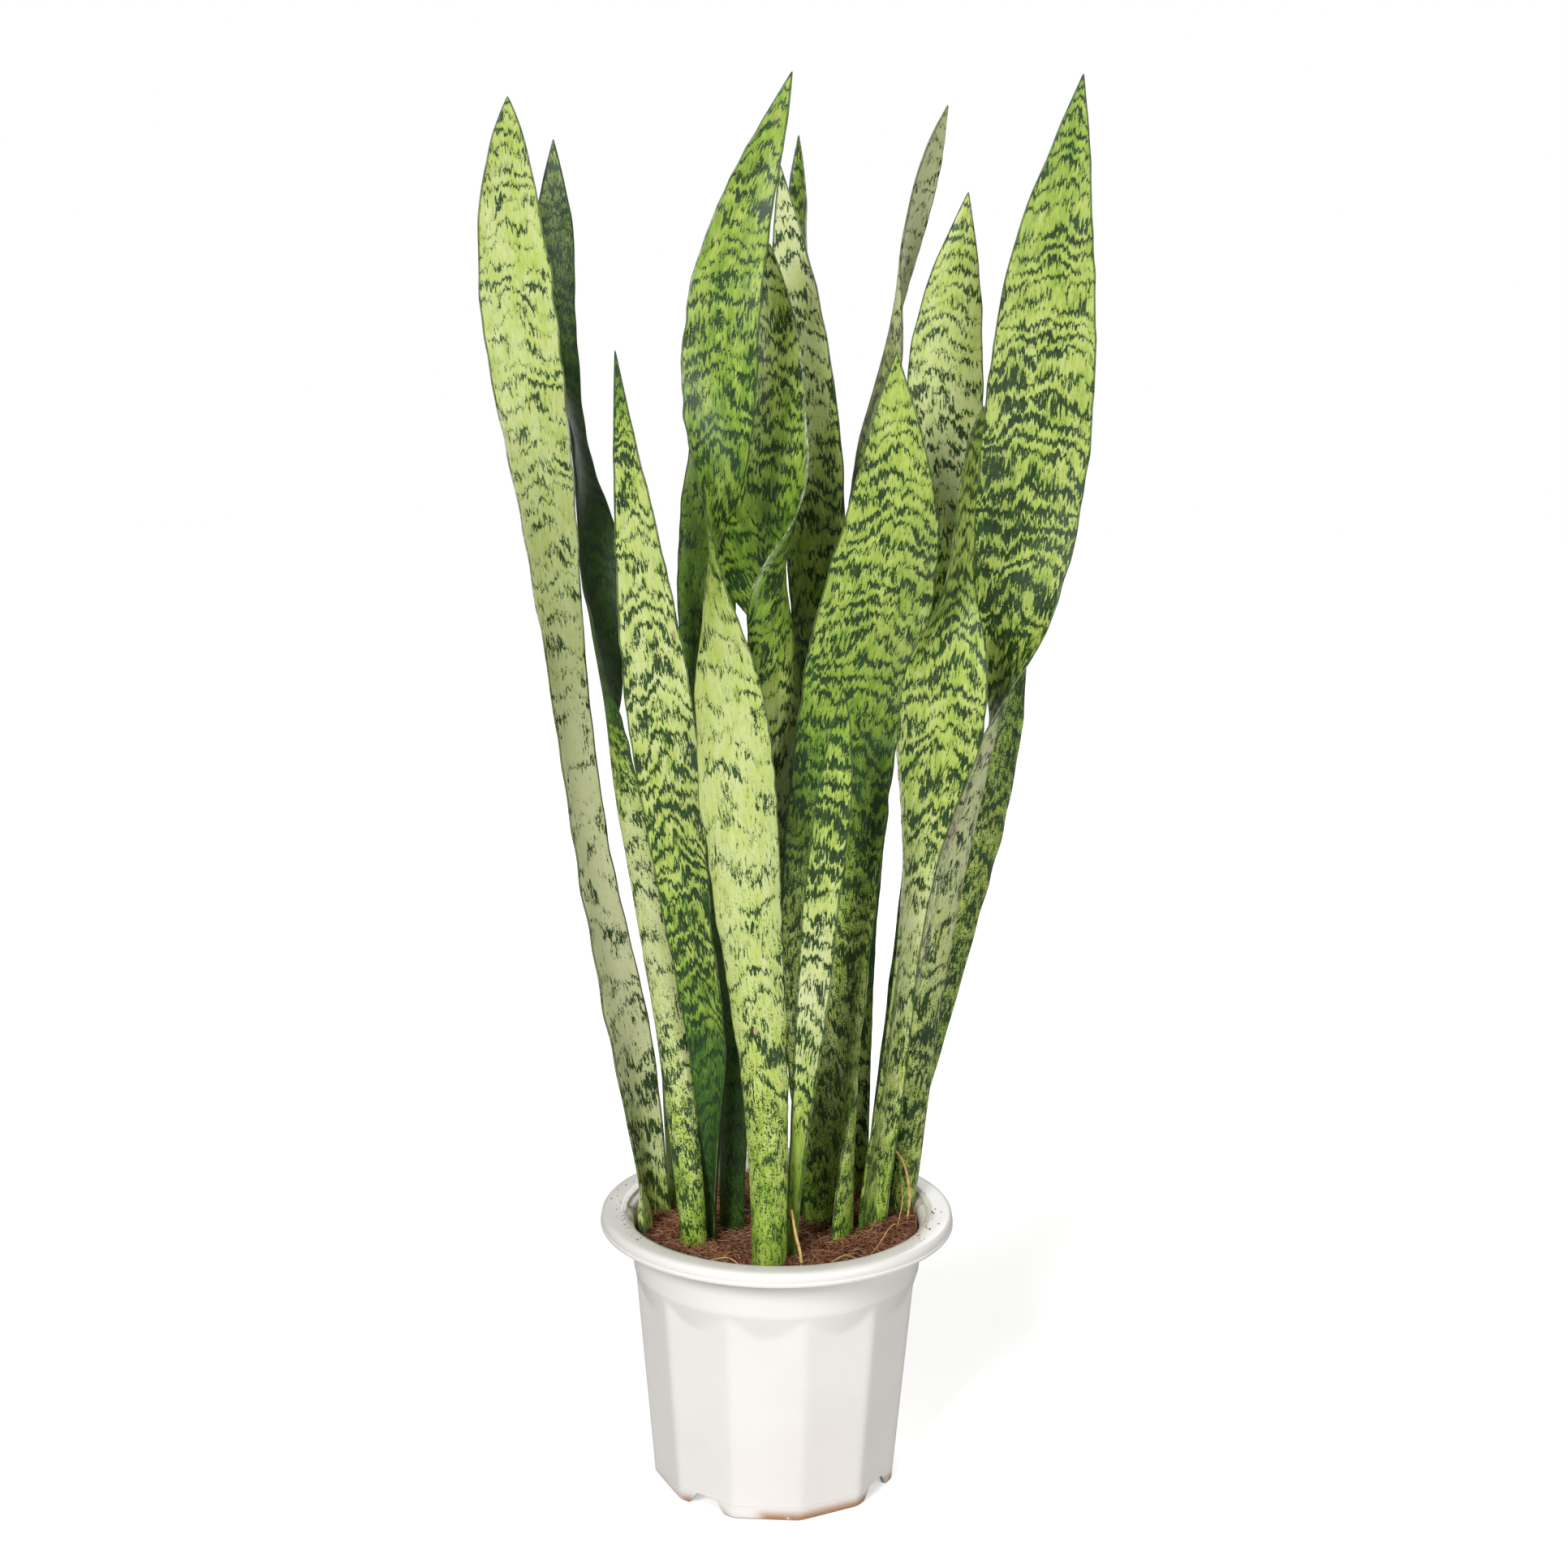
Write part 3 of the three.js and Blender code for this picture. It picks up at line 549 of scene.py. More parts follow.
def leaf_rows(node):
    """A CAD leaf's sections from foot to tip, in mm: eight points each (margin, inner, margin, outer)."""
    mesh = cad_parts[node].data
    corners = np.zeros(len(mesh.vertices) * 3)
    mesh.vertices.foreach_get("co", corners)
    corners = corners.reshape(-1, 3) / MM
    keys = {}
    index = [keys.setdefault(tuple(np.round(point, 2)), len(keys)) for point in corners]
    points = np.zeros((len(keys), 3))
    points[index] = corners
    levels = sorted({round(point[2], 1) for point in points})
    level = [levels.index(round(point[2], 1)) for point in points]
    follow = {}
    for face in mesh.polygons:
        ring = [index[v] for v in face.vertices]
        for turn in range(3):
            a, b, c = ring[turn:] + ring[:turn]
            if level[a] == level[b] == level[c] - 1:
                follow[a] = b
    rows = []
    for k in range(len(levels) - 1):
        row = [next(i for i in follow if level[i] == k)]
        while len(row) < 8:
            row.append(follow[row[-1]])
        turned = [np.roll(points[row], -step, axis=0) for step in range(8)]
        before = rows[-1] if rows else turned[0]
        rows.append(min(turned, key=lambda ring: np.linalg.norm(ring - before, axis=1).sum()))
    rows = np.array(rows)
    tip = points[level.index(len(levels) - 1)]
    spans = [np.linalg.norm(rows[:, j] - rows[:, j + 4], axis=1).sum() for j in range(4)]
    first = int(np.argmax(spans))
    rows = np.roll(rows, -first, axis=1)
    middle = (rows[:, 0] + rows[:, 4]) / 2
    inner_rise = np.linalg.norm(rows[:, 2] - middle, axis=1).sum()
    outer_rise = np.linalg.norm(rows[:, 6] - middle, axis=1).sum()
    if inner_rise > outer_rise:
        rows = np.roll(rows, -4, axis=1)
    return rows, tip


def through(heights, values, wanted):
    """Smooth cubic pieces through values given at heights, read at the wanted heights."""
    slopes = np.gradient(values, heights, axis=0)
    i = np.clip(np.searchsorted(heights, wanted) - 1, 0, len(heights) - 2)
    span = (heights[i + 1] - heights[i])[:, None]
    t = ((wanted - heights[i]) / (heights[i + 1] - heights[i]))[:, None]
    a, b, slope_a, slope_b = values[i], values[i + 1], slopes[i], slopes[i + 1]
    start = (1 + 2 * t) * (1 - t) ** 2 * a + t * (1 - t) ** 2 * span * slope_a
    return start + t * t * (3 - 2 * t) * b + t * t * (t - 1) * span * slope_b


def ripple(seed, count, values):
    """A sum of a few sines with seeded lengths and starts, between about -1 and 1."""
    draw = random.Random(seed)
    total = np.zeros_like(values)
    for _ in range(count):
        length = draw.uniform(18, 90)
        total += np.sin(2 * math.pi * values / length + draw.uniform(0, 6.28)) / count
    return total


def unit(vectors):
    return vectors / np.maximum(np.linalg.norm(vectors, axis=-1, keepdims=True), 1e-9)


def leaf_marks(node, wanted, across_share, face):
    """How much of each mark (purple, pale, rib) lies on every point of a leaf."""
    kinds = {"purple": 0, "pale": 1, "rib": 2}
    made = np.zeros(across_share.shape + (3,))
    height = wanted[:, None]
    for kind, low, high, side, left, right, strength in LEAF_MARKS.get(node, []):
        above = smooth_step(low - MARK_FADE, low + MARK_FADE, height)
        within = above * (1 - smooth_step(high - MARK_FADE, high + MARK_FADE, height))
        inside_left = smooth_step(left - MARK_SOFT, left + MARK_SOFT, across_share)
        past_right = smooth_step(right - MARK_SOFT, right + MARK_SOFT, across_share)
        band = inside_left * (1 - past_right)
        on_side = 1.0 if side == "both" else (face == side)
        made[..., kinds[kind]] = np.maximum(made[..., kinds[kind]], within * band * on_side * strength)
    return made


def leaf(node):
    seed, look = LEAF_LOOKS[node]
    rows, tip = leaf_rows(node)
    heights = np.append(rows[:, 0, 2], tip[2])
    inner = rows[:, [0, 1, 2, 3, 4]]
    outer = rows[:, [0, 7, 6, 5, 4]]
    middle = np.concatenate([(inner + outer) / 2, np.repeat(tip[None, None], 5, axis=1)])
    thick = np.append(np.linalg.norm(inner[:, 2] - outer[:, 2], axis=1), 0.9)

    # finer rows, closer together towards the tip
    count = int((heights[-1] - heights[0]) / ROW_STEP)
    share = np.linspace(0, 1, count + 1)[:-1]
    wanted = heights[0] + (heights[-1] - heights[0]) * (1 - (1 - share) ** 1.15)
    knots = through(heights, middle.reshape(len(heights), -1), wanted).reshape(-1, 5, 3)
    half_thick = through(heights, thick[:, None], wanted)[:, 0] / 2

    # finer columns: the one curve of fourth degree through each section's five points
    columns = np.sin(np.linspace(-1, 1, FACE_COLUMNS) * math.pi / 2)
    basis = np.linalg.inv(np.vander(np.linspace(-1, 1, 5), 5))
    sheet = np.einsum("cp,pk,rkx->rcx", np.vander(columns, 5), basis, knots)

    # the blade's own small unevenness: margins that waver, and shallow lengthwise waves
    tangent = unit(np.gradient(sheet, columns, axis=1))
    rise = unit(np.gradient(sheet, wanted, axis=0))
    facing = unit(np.cross(tangent, rise))
    width = np.linalg.norm(np.diff(sheet, axis=1), axis=2).sum(axis=1)
    sway = np.clip(width / 40, 0, 1) * smooth_step(150, 260, wanted)
    left, right = ripple(seed, 4, wanted), ripple(seed + 1, 4, wanted)
    weight_left = np.clip(-columns, 0, 1) ** 3
    weight_right = np.clip(columns, 0, 1) ** 3
    waver = left[:, None] * weight_left + right[:, None] * weight_right
    sheet = sheet + facing * (waver * sway[:, None])[..., None] * MARGIN_WAVER
    in_out = ripple(seed + 2, 5, wanted * 1.7)[:, None] * weight_right
    in_out = in_out - ripple(seed + 3, 5, wanted * 1.7)[:, None] * weight_left
    sheet = sheet + tangent * (in_out * sway[:, None])[..., None] * MARGIN_SWAY

    tangent = unit(np.gradient(sheet, columns, axis=1))
    rise = unit(np.gradient(sheet, wanted, axis=0))
    facing = unit(np.cross(tangent, rise))
    body = np.sqrt(np.clip(1 - np.abs(columns) ** 2.2, 0, 1))
    edge = np.minimum(MARGIN_HALF_THICK, half_thick * 0.8)
    depth = edge[:, None] + (half_thick - edge)[:, None] * body
    steps = np.linalg.norm(np.diff(sheet, axis=1), axis=2)
    run = np.concatenate([np.zeros((len(wanted), 1)), np.cumsum(steps, axis=1)], axis=1)
    half_width = run[:, -1:] / 2
    across = run - half_width
    face_a = sheet + facing * depth[..., None]
    face_b = sheet - facing * depth[..., None]

    def lip(column, sign):
        """Points that round a margin, from face a to face b."""
        made = []
        for k in range(1, LIP_POINTS + 1):
            angle = math.pi * k / (LIP_POINTS + 1)
            out = tangent[:, column] * sign * math.sin(angle) * edge[:, None]
            made.append(sheet[:, column] + out + facing[:, column] * math.cos(angle) * edge[:, None])
        return np.stack(made, axis=1)

    right_lip = lip(-1, 1)
    left_lip = lip(0, -1)[:, ::-1]
    rings = np.concatenate([face_a, right_lip, face_b[:, ::-1], left_lip], axis=1)
    over_low = np.maximum(BLADE_LOW - rings.min(axis=1), 0)
    over_high = np.maximum(rings.max(axis=1) - BLADE_HIGH, 0)
    rings = rings + (over_low - over_high)[:, None]
    lips = np.repeat(half_width, LIP_POINTS, axis=1)
    ring_across = np.concatenate([across, lips, across[:, ::-1], -lips], axis=1)
    lip_rim = -np.sin(np.linspace(0, math.pi, LIP_POINTS + 2)[1:-1]) * MARGIN_HALF_THICK
    face_rim = half_width - np.abs(across)
    ring_rim = np.concatenate([face_rim, np.tile(lip_rim, (len(wanted), 1)), face_rim[:, ::-1],
                               np.tile(lip_rim, (len(wanted), 1))], axis=1)

    around = rings.shape[1]
    centre = sheet[:, FACE_COLUMNS // 2]
    length = np.append(0, np.cumsum(np.linalg.norm(np.diff(centre, axis=0), axis=1)))
    columns_of_look = np.array(look).T
    look_at = [np.interp(wanted, columns_of_look[0], column) for column in columns_of_look[1:]]
    tone_and_shade, cover, speckle, spacing = look_at
    bands = np.append(0, np.cumsum(np.diff(length) / spacing[1:]))
    wobble = 1 + 0.8 * ripple(seed + 4, 3, wanted)
    slant = STEEP_CHEVRONS.get(node, CHEVRON)
    chevrons = bands[:, None] + slant * (wobble / spacing)[:, None] * np.abs(ring_across)
    edge_names = ["edge"] * LIP_POINTS
    face = np.array(["inner"] * FACE_COLUMNS + edge_names + ["outer"] * FACE_COLUMNS + edge_names)
    marks = leaf_marks(node, wanted, ring_across / np.maximum(half_width, 0.1), face[None])

    def per_point(values):
        return np.repeat(values, around)

    points = np.concatenate([rings.reshape(-1, 3), tip[None], sheet[0, FACE_COLUMNS // 2][None]]) * MM
    skin = np.stack([ring_across.ravel(), per_point(length), chevrons.ravel()], axis=1)
    marks = np.concatenate([marks.reshape(-1, 3), np.zeros((2, 3))])
    paint = np.stack([per_point(tone_and_shade), per_point(cover), per_point(speckle)], axis=1)
    ends = [len(wanted) - 1, 0]
    skin = np.concatenate([skin, [[0, length[i], bands[i]] for i in ends]])
    paint = np.concatenate([paint, [[tone_and_shade[i], cover[i], speckle[i]] for i in ends]])
    rim = np.append(ring_rim.ravel(), [0, 5])

    faces = []
    for i in range(len(wanted) - 1):
        for j in range(around):
            k = (j + 1) % around
            faces.append((i * around + j, i * around + k, (i + 1) * around + k, (i + 1) * around + j))
    last = (len(wanted) - 1) * around
    for j in range(around):
        k = (j + 1) % around
        faces.append((last + j, last + k, len(points) - 2))
        faces.append((k, j, len(points) - 1))
    piece = mesh_object(node + "_blade", points, faces, LEAF_SKIN)
    outward(piece)
    vector_attribute(piece, "skin", skin)
    vector_attribute(piece, "paint", paint)
    float_attribute(piece, "rim", rim)
    float_attribute(piece, "seed", np.full(len(points), seed))
    vector_attribute(piece, "marks", marks)
    join_to_part(piece, "leaf_green", node)
    return piece


def outward(piece):
    """Turns a closed mesh's faces so that they point out."""
    mesh = bmesh.new()
    mesh.from_mesh(piece.data)
    bmesh.ops.recalc_face_normals(mesh, faces=mesh.faces)
    mesh.to_mesh(piece.data)
    mesh.free()


for leaf_name in LEAF_LOOKS:
    leaf(leaf_name)


# --------------------------------------------------------------------------------------------------
# Shaping trees: Geometry Nodes that run once on a piece, which then keeps the result as a plain mesh
# --------------------------------------------------------------------------------------------------
def new_shaping(name, inputs):
    """A shaping tree with named inputs, given as {name: (kind, default)}."""
    sockets = {"Geometry": "Geometry"}
    sockets.update(inputs)
    sockets["Material"] = "Material"
    return new_group(name, sockets, {"Geometry": "Geometry"}, "GeometryNodeTree")


def finish_shaping(tree, geometry, given, made):
    """Every shaping tree ends with real geometry, smooth faces and its material."""
    real = tree.add("GeometryNodeRealizeInstances", Geometry=geometry)
    soft = tree.add("GeometryNodeSetShadeSmooth", Geometry=real)
    dressed = tree.add("GeometryNodeSetMaterial", Geometry=soft, Material=given["Material"])
    tree.feed(made["Geometry"], dressed)


def chance(tree, seed, kind, low, high, lift):
    """A random value between low and high for every element, from a seed that is lifted by a fixed step."""
    first, second, result = {"FLOAT": (2, 3, 1), "FLOAT_VECTOR": (0, 1, 0)}[kind]
    node = tree.add("FunctionNodeRandomValue", {"data_type": kind})
    tree.feed(node.inputs[first], low)
    tree.feed(node.inputs[second], high)
    tree.feed(node.inputs["Seed"], tree.plus(seed, lift))
    return node.outputs[result]


def keep_evaluated(piece):
    """Replaces a piece's mesh by what its modifiers make of it, and takes the modifiers off."""
    graph = bpy.context.evaluated_depsgraph_get()
    shaped = piece.evaluated_get(graph)
    made = bpy.data.meshes.new_from_object(shaped, preserve_all_data_layers=True, depsgraph=graph)
    piece.modifiers.clear()
    old = piece.data
    piece.data = made
    bpy.data.meshes.remove(old)


def shape_with(piece, group, **values):
    """Runs a shaping tree on a piece with values for its named inputs."""
    modifier = piece.modifiers.new("shaping", "NODES")
    modifier.node_group = group
    for item in group.interface.items_tree:
        label = item.name.replace(" ", "_")
        if item.in_out == "INPUT" and label in values:
            modifier[item.identifier] = values[label]
    keep_evaluated(piece)


# --------------------------------------------------------------------------------------------------
# Pot: a turned section whose outer wall is flattened into panels
# --------------------------------------------------------------------------------------------------
RIM_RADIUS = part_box("pot")[1].y / MM - 0.05
RIM_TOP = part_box("pot")[1].z / MM
FOOT_RADIUS = 70
PANEL_TOP_RADIUS = 81
PANEL_TOP = 122
PANEL_COUNT = 12
PANEL_PHASE = 11.5
PANEL_COLUMNS = 18
NOTCH_COUNT = 4
NOTCH_WIDE = 25
NOTCH_NARROW = 13
NOTCH_TOP = 8
DRAIN_RADIUS = 5
DRAIN_RING = 38
MOULD_LINE = 8.6
PANEL_ROWS = 64
PANEL_FOOT = 1.2
SCALLOP_ROWS = 20
SCALLOP_STEP = 0.72


def pot_section():
    """The wall's section as (radius, height, panelled), from the floor's middle over the rim to the foot.

    Panelled is 0 on turned stretches and 1 on the flat panels, less the foot's rounding in metres.
    """
    inside = [(0, 10), (20, 10), (45, 10), (60, 10), (63.4, 10.2), (65, 10.9), (65.6, 12), (68, 36),
              (70.4, 60), (72.8, 84), (75.2, 108), (77.2, 115), (79.2, 122), (80.2, 135), (81.2, 147),
              (82.0, 149.2), (83.4, 150.6), (84.5, 151.1), (85, 152), (85.1, 153), (85.6, 153.6), (86.4, 153.7)]
    top = [(86.8, 154), (87.3, 154.3), (88.4, 154.45), (92.5, RIM_TOP), (96, 154.6), (97.3, 154.35),
           (98.3, 153.8), (98.95, 152.9), (99.2, 151.7), (99.3, 149.6), (99.1, 149.25), (99.35, 149.0),
           (RIM_RADIUS, 148.7), (RIM_RADIUS, 147.7), (99.5, 147.25), (98.9, 147.15), (98.4, 147.4)]
    under = [(98.2, 148.5), (98.0, 150), (97.2, 151.4), (95.5, 152.1), (92, 152.3), (88, 152.2),
             (86.4, 151.9), (84.9, 151), (83.9, 149.8), (83.4, 148.4), (83.05, 146.8), (82.4, 140),
             (81.7, 131), (81.15, 124)]
    points = [(r, z, 0.0) for r, z in inside + top + under]
    for k in range(PANEL_ROWS + 1):
        z = PANEL_TOP - SCALLOP_STEP * k
        if k > SCALLOP_ROWS:
            below = PANEL_TOP - SCALLOP_STEP * SCALLOP_ROWS
            z = below - (below - PANEL_FOOT) * (k - SCALLOP_ROWS) / (PANEL_ROWS - SCALLOP_ROWS)
        points.append((81 - 0.3 * (PANEL_TOP - z), z, 1.0))
    foot = [(0.25, 0.5), (0.6, 0.15), (1.1, 0)]
    points += [(20 - inset, z, 1.0 - inset * MM) for inset, z in foot]
    floor = [(66.6, 0), (65.9, 0.1), (65.6, 0.5), (65.8, 3), (66.1, 7.6), (65.7, 8), (50, 8), (25, 8), (0, 8)]
    return points + [(r, z, 0.0) for r, z in floor]


def faceted_turning():
    """Turns a section of points round the axis. Points marked as panelled are pushed out to flat panels."""
    tree, given, made = new_shaping("faceted_turning", {
        "Columns": ("Int", PANEL_COUNT * PANEL_COLUMNS),
        "Panels": ("Int", PANEL_COUNT),
        "Phase": ("Float", math.radians(PANEL_PHASE)),
        "Foot Radius": ("Float", FOOT_RADIUS * MM),
        "Top Radius": ("Float", PANEL_TOP_RADIUS * MM),
        "Panel Height": ("Float", PANEL_TOP * MM),
        "Edge Softness": ("Float", 0.035),
    })
    size = tree.add("GeometryNodeAttributeDomainSize", {"component": "MESH"}, Geometry=given["Geometry"])
    rows = size.outputs["Point Count"]
    grid = tree.add("GeometryNodeMeshGrid")
    tree.feed(grid.inputs["Vertices X"], tree.plus(given["Columns"], 1))
    tree.feed(grid.inputs["Vertices Y"], rows)
    index = tree.add("GeometryNodeInputIndex").outputs[0]
    row = tree.math("MODULO", index, rows)
    column = tree.math("FLOOR", tree.over(index, rows))

    def read(kind, field):
        node = tree.add("GeometryNodeSampleIndex", {"data_type": kind, "domain": "POINT"},
                        Geometry=given["Geometry"])
        tree.feed(node.inputs["Value"], field)
        tree.feed(node.inputs["Index"], row)
        return node.outputs[0]

    place = tree.split(read("FLOAT_VECTOR", tree.add("GeometryNodeInputPosition").outputs[0]))
    flag = tree.add("GeometryNodeInputNamedAttribute", {"data_type": "FLOAT"}, Name="panelled").outputs[0]
    panelled = read("FLOAT", flag)
    angle = tree.times(tree.over(column, given["Columns"]), 2 * math.pi)

    # distance to the nearest corner, as a share of one panel, softened so that the corners are rounded
    share = tree.over(tree.minus(angle, given["Phase"]), 2 * math.pi)
    share = tree.math("FRACT", tree.times_plus(share, given["Panels"], 0.5))
    share = tree.minus(share, 0.5)
    square = tree.times_plus(share, share, tree.math("POWER", given["Edge Softness"], 2.0))
    share = tree.math("SQRT", square)
    half_turn = tree.over(math.pi, given["Panels"])
    off_middle = tree.times(tree.minus(0.5, share), tree.times(half_turn, 2.0))
    flatten = tree.over(tree.math("COSINE", half_turn), tree.math("COSINE", off_middle))
    rise = tree.over(place["Z"], given["Panel Height"])
    spread = tree.minus(given["Top Radius"], given["Foot Radius"])
    corner = tree.times_plus(rise, spread, given["Foot Radius"])
    inset = tree.minus(1.0, panelled)
    panel = tree.minus(tree.times(corner, flatten), inset)
    out = tree.math("SMOOTH_MAX", place["X"], panel, 0.0007)
    is_panel = tree.math("GREATER_THAN", panelled, 0.5)
    back = tree.times(place["X"], tree.minus(1.0, is_panel))
    radius = tree.times_plus(out, is_panel, back)
    moved = tree.vector(
        tree.times(radius, tree.math("SINE", angle)),
        tree.times(radius, tree.times(tree.math("COSINE", angle), -1.0)),
        place["Z"],
    )
    turned = tree.add("GeometryNodeSetPosition", Geometry=grid.outputs["Mesh"], Position=moved)
    lining = tree.add("GeometryNodeInputNamedAttribute", {"data_type": "FLOAT"}, Name="inside").outputs[0]
    marked = tree.add("GeometryNodeStoreNamedAttribute", {"data_type": "FLOAT", "domain": "POINT"},
                      Geometry=turned, Name="lining")
    tree.feed(marked.inputs["Value"], read("FLOAT", lining))
    closed = tree.add("GeometryNodeMergeByDistance", Geometry=marked, Distance=0.02 * MM)
    finish_shaping(tree, closed.outputs[0], given, made)
    return tree.tree


def pot_finish():
    """Glossy off-white plastic: mould line, dust specks, soil dust inside and brown marks on the foot."""
    material, tree, shader = new_material("white_plastic")
    at = tree.add("ShaderNodeTexCoord").outputs["Object"]
    place = tree.split(at)
    z = place["Z"]
    haze = tree.noise(at, 9.0, 4.0, 0.6)
    white = tree.mix(tree.ramp(haze, 0.35, 0.7), linear("f7f3ef"), linear("f0ebe6"))

    stain = tree.group(CLOUD, Vector=at, Scale=95.0, Amount=0.74, Softness=0.12)
    low = tree.minus(1.0, tree.ramp(z, 1.0 * MM, 8.0 * MM))
    spread = tree.ramp(tree.noise(at, 14.0, 1.0), 0.4, 0.5)
    mark = tree.times(tree.times(stain.outputs[0], low), spread)
    white = tree.mix(tree.times(mark, 0.9), white, linear("a8713c"))
    rust = tree.group(CLOUD, Vector=at, Scale=260.0, Amount=0.85, Softness=0.1)
    foot_line = tree.minus(1.0, tree.ramp(z, 0.2 * MM, 1.4 * MM))
    line = tree.times(tree.times(foot_line, rust.outputs[0]), 0.95)
    white = tree.mix(line, white, linear("b98a56"))

    specks = tree.group(SPECKS, Vector=at, Spacing=13 * MM, Size=0.022, Amount=0.22)
    white = tree.mix(tree.times(specks.outputs[0], 0.5), white, linear("8d8378"))
    grime = tree.group(CLOUD, Vector=at, Scale=150.0, Amount=0.45, Softness=0.15)
    inner = tree.attribute("lining")
    high = tree.times(inner, tree.ramp(z, 0.09, 0.12))
    white = tree.mix(tree.times(tree.times(grime.outputs[0], high), 0.8), white, linear("7d5a44"))
    tree.feed(shader["Base Color"], white)

    wear = tree.noise(at, 60.0, 3.0, 0.6)
    rough = tree.times_plus(wear, 0.1, 0.26)
    tree.feed(shader["Roughness"], tree.times_plus(mark, 0.4, rough))
    shader["Coat Weight"].default_value = 0.25
    wave = tree.noise(at, 22.0, 1.0)
    line_height = tree.times_plus(wave, 1.6 * MM, (MOULD_LINE - 0.8) * MM)
    off_line = tree.math("ABSOLUTE", tree.minus(z, line_height))
    seam = tree.minus(1.0, tree.ramp(off_line, 0.15 * MM, 0.5 * MM))
    grain = tree.group(GRAIN, Vector=at, Fibre_Scale=55.0, Pore_Scale=900.0)
    relief = tree.times_plus(seam, 1.8, tree.times(grain.outputs["Height"], 0.5))
    bump = tree.add("ShaderNodeBump", Strength=0.25, Distance=0.0006, Height=relief)
    tree.feed(shader["Normal"], bump.outputs[0])
    return material


def pot_cuts():
    """What is taken out of the foot and floor: the notches at the base and the drain holes."""
    mesh = bmesh.new()
    for k in range(NOTCH_COUNT):
        angle = math.radians(PANEL_PHASE - 45 + 360 / NOTCH_COUNT * k)
        out = Vector((math.sin(angle), -math.cos(angle), 0))
        side = Vector((math.cos(angle), math.sin(angle), 0))
        wide, narrow = NOTCH_WIDE / 2 + 1.5, NOTCH_NARROW / 2
        outline = [(-wide, -2), (wide, -2), (narrow, NOTCH_TOP - 0.6), (narrow - 0.9, NOTCH_TOP),
                   (-narrow + 0.9, NOTCH_TOP), (-narrow, NOTCH_TOP - 0.6)]
        ends = []
        for reach in (55, 90):
            places = [out * reach + side * s + Vector((0, 0, h)) for s, h in outline]
            ends.append([mesh.verts.new(place * MM) for place in places])
        mesh.faces.new(ends[0][::-1])
        mesh.faces.new(ends[1])
        for i in range(len(outline)):
            j = (i + 1) % len(outline)
            mesh.faces.new((ends[0][i], ends[0][j], ends[1][j], ends[1][i]))
    for k in range(NOTCH_COUNT + 1):
        ring = 0 if k == NOTCH_COUNT else DRAIN_RING
        angle = math.radians(360 / NOTCH_COUNT * k)
        middle = Matrix.Translation(Vector((ring * math.cos(angle), ring * math.sin(angle), 9)) * MM)
        radius = DRAIN_RADIUS * MM
        bmesh.ops.create_cone(mesh, cap_ends=True, segments=32, radius1=radius, radius2=radius,
                              depth=8 * MM, matrix=middle)
    bmesh.ops.recalc_face_normals(mesh, faces=mesh.faces)
    data = bpy.data.meshes.new("pot_cuts")
    mesh.to_mesh(data)
    mesh.free()
    cuts = bpy.data.objects.new("pot_cuts", data)
    bpy.context.scene.collection.objects.link(cuts)
    return cuts


def pot():
    section = pot_section()
    material = pot_finish()
    points = [(r * MM, 0, z * MM) for r, z, panelled in section]
    mouth = max(range(len(section)), key=lambda k: section[k][1])
    piece = mesh_object("faceted_pot", points, [], material)
    float_attribute(piece, "panelled", [panelled for r, z, panelled in section])
    float_attribute(piece, "inside", [k < mouth - 3 for k in range(len(section))])
    shape_with(piece, faceted_turning(), Material=material)
    outward(piece)
    cuts = pot_cuts()
    cutting = piece.modifiers.new("cuts", "BOOLEAN")
    cutting.operation = "DIFFERENCE"
    cutting.solver = "EXACT"
    cutting.object = cuts
    keep_evaluated(piece)
    bpy.data.objects.remove(cuts)
    sharpen(piece, 50)
    join_to_part(piece, "white_plastic", "pot")


def sharpen(piece, degrees):
    """Keeps edges sharper than the angle crisp, and leaves the rest smooth."""
    mesh = bmesh.new()
    mesh.from_mesh(piece.data)
    for edge in mesh.edges:
        if len(edge.link_faces) == 2:
            edge.smooth = edge.calc_face_angle(0) < math.radians(degrees)
    for face in mesh.faces:
        face.smooth = True
    mesh.to_mesh(piece.data)
    mesh.free()


pot()


# --------------------------------------------------------------------------------------------------
# Soil: coir with loose curly fibres, crumbs and a few pale straws
# --------------------------------------------------------------------------------------------------
SOIL_LEVEL = 141
SOIL_RADIUS = 80.2
SOIL_FOOT_RADIUS = 65
SOIL_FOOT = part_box("soil")[0].z / MM
SOIL_SLOPE = 3 / 80
# Middle x and y, spread and rise of each mound
SOIL_MOUNDS = [(62, -26, 15, 3.6), (18, -50, 12, 2.8), (-34, -52, 14, 2.4), (-62, 0, 13, 2.4),
               (46, 34, 16, 2.6)]
STRAWS = {
    "straw_front": (0.9, [(8, -53, 172), (10, -54, 160), (13, -57, 148), (14, -59, 134)]),
    "straw_right": (0.8, [(61, -3, 192), (67, -1, 187), (72, 1, 178), (75, 2, 164), (74, 2, 140)]),
}
LOOSE_STRAWS = [
    (0.3, [(24, -70, 143), (30, -66, 148), (37, -62, 150), (45, -60, 146), (49, -58, 140)]),
    (0.3, [(-40, -58, 142), (-34, -62, 147), (-26, -64, 149), (-18, -66, 144), (-14, -66, 138)]),
    (0.32, [(50, -46, 142), (57, -40, 149), (62, -33, 154), (66, -24, 153), (68, -16, 146)]),
    (0.32, [(58, 30, 146), (66, 22, 158), (70, 10, 166), (71, -4, 160), (68, -14, 148)]),
]


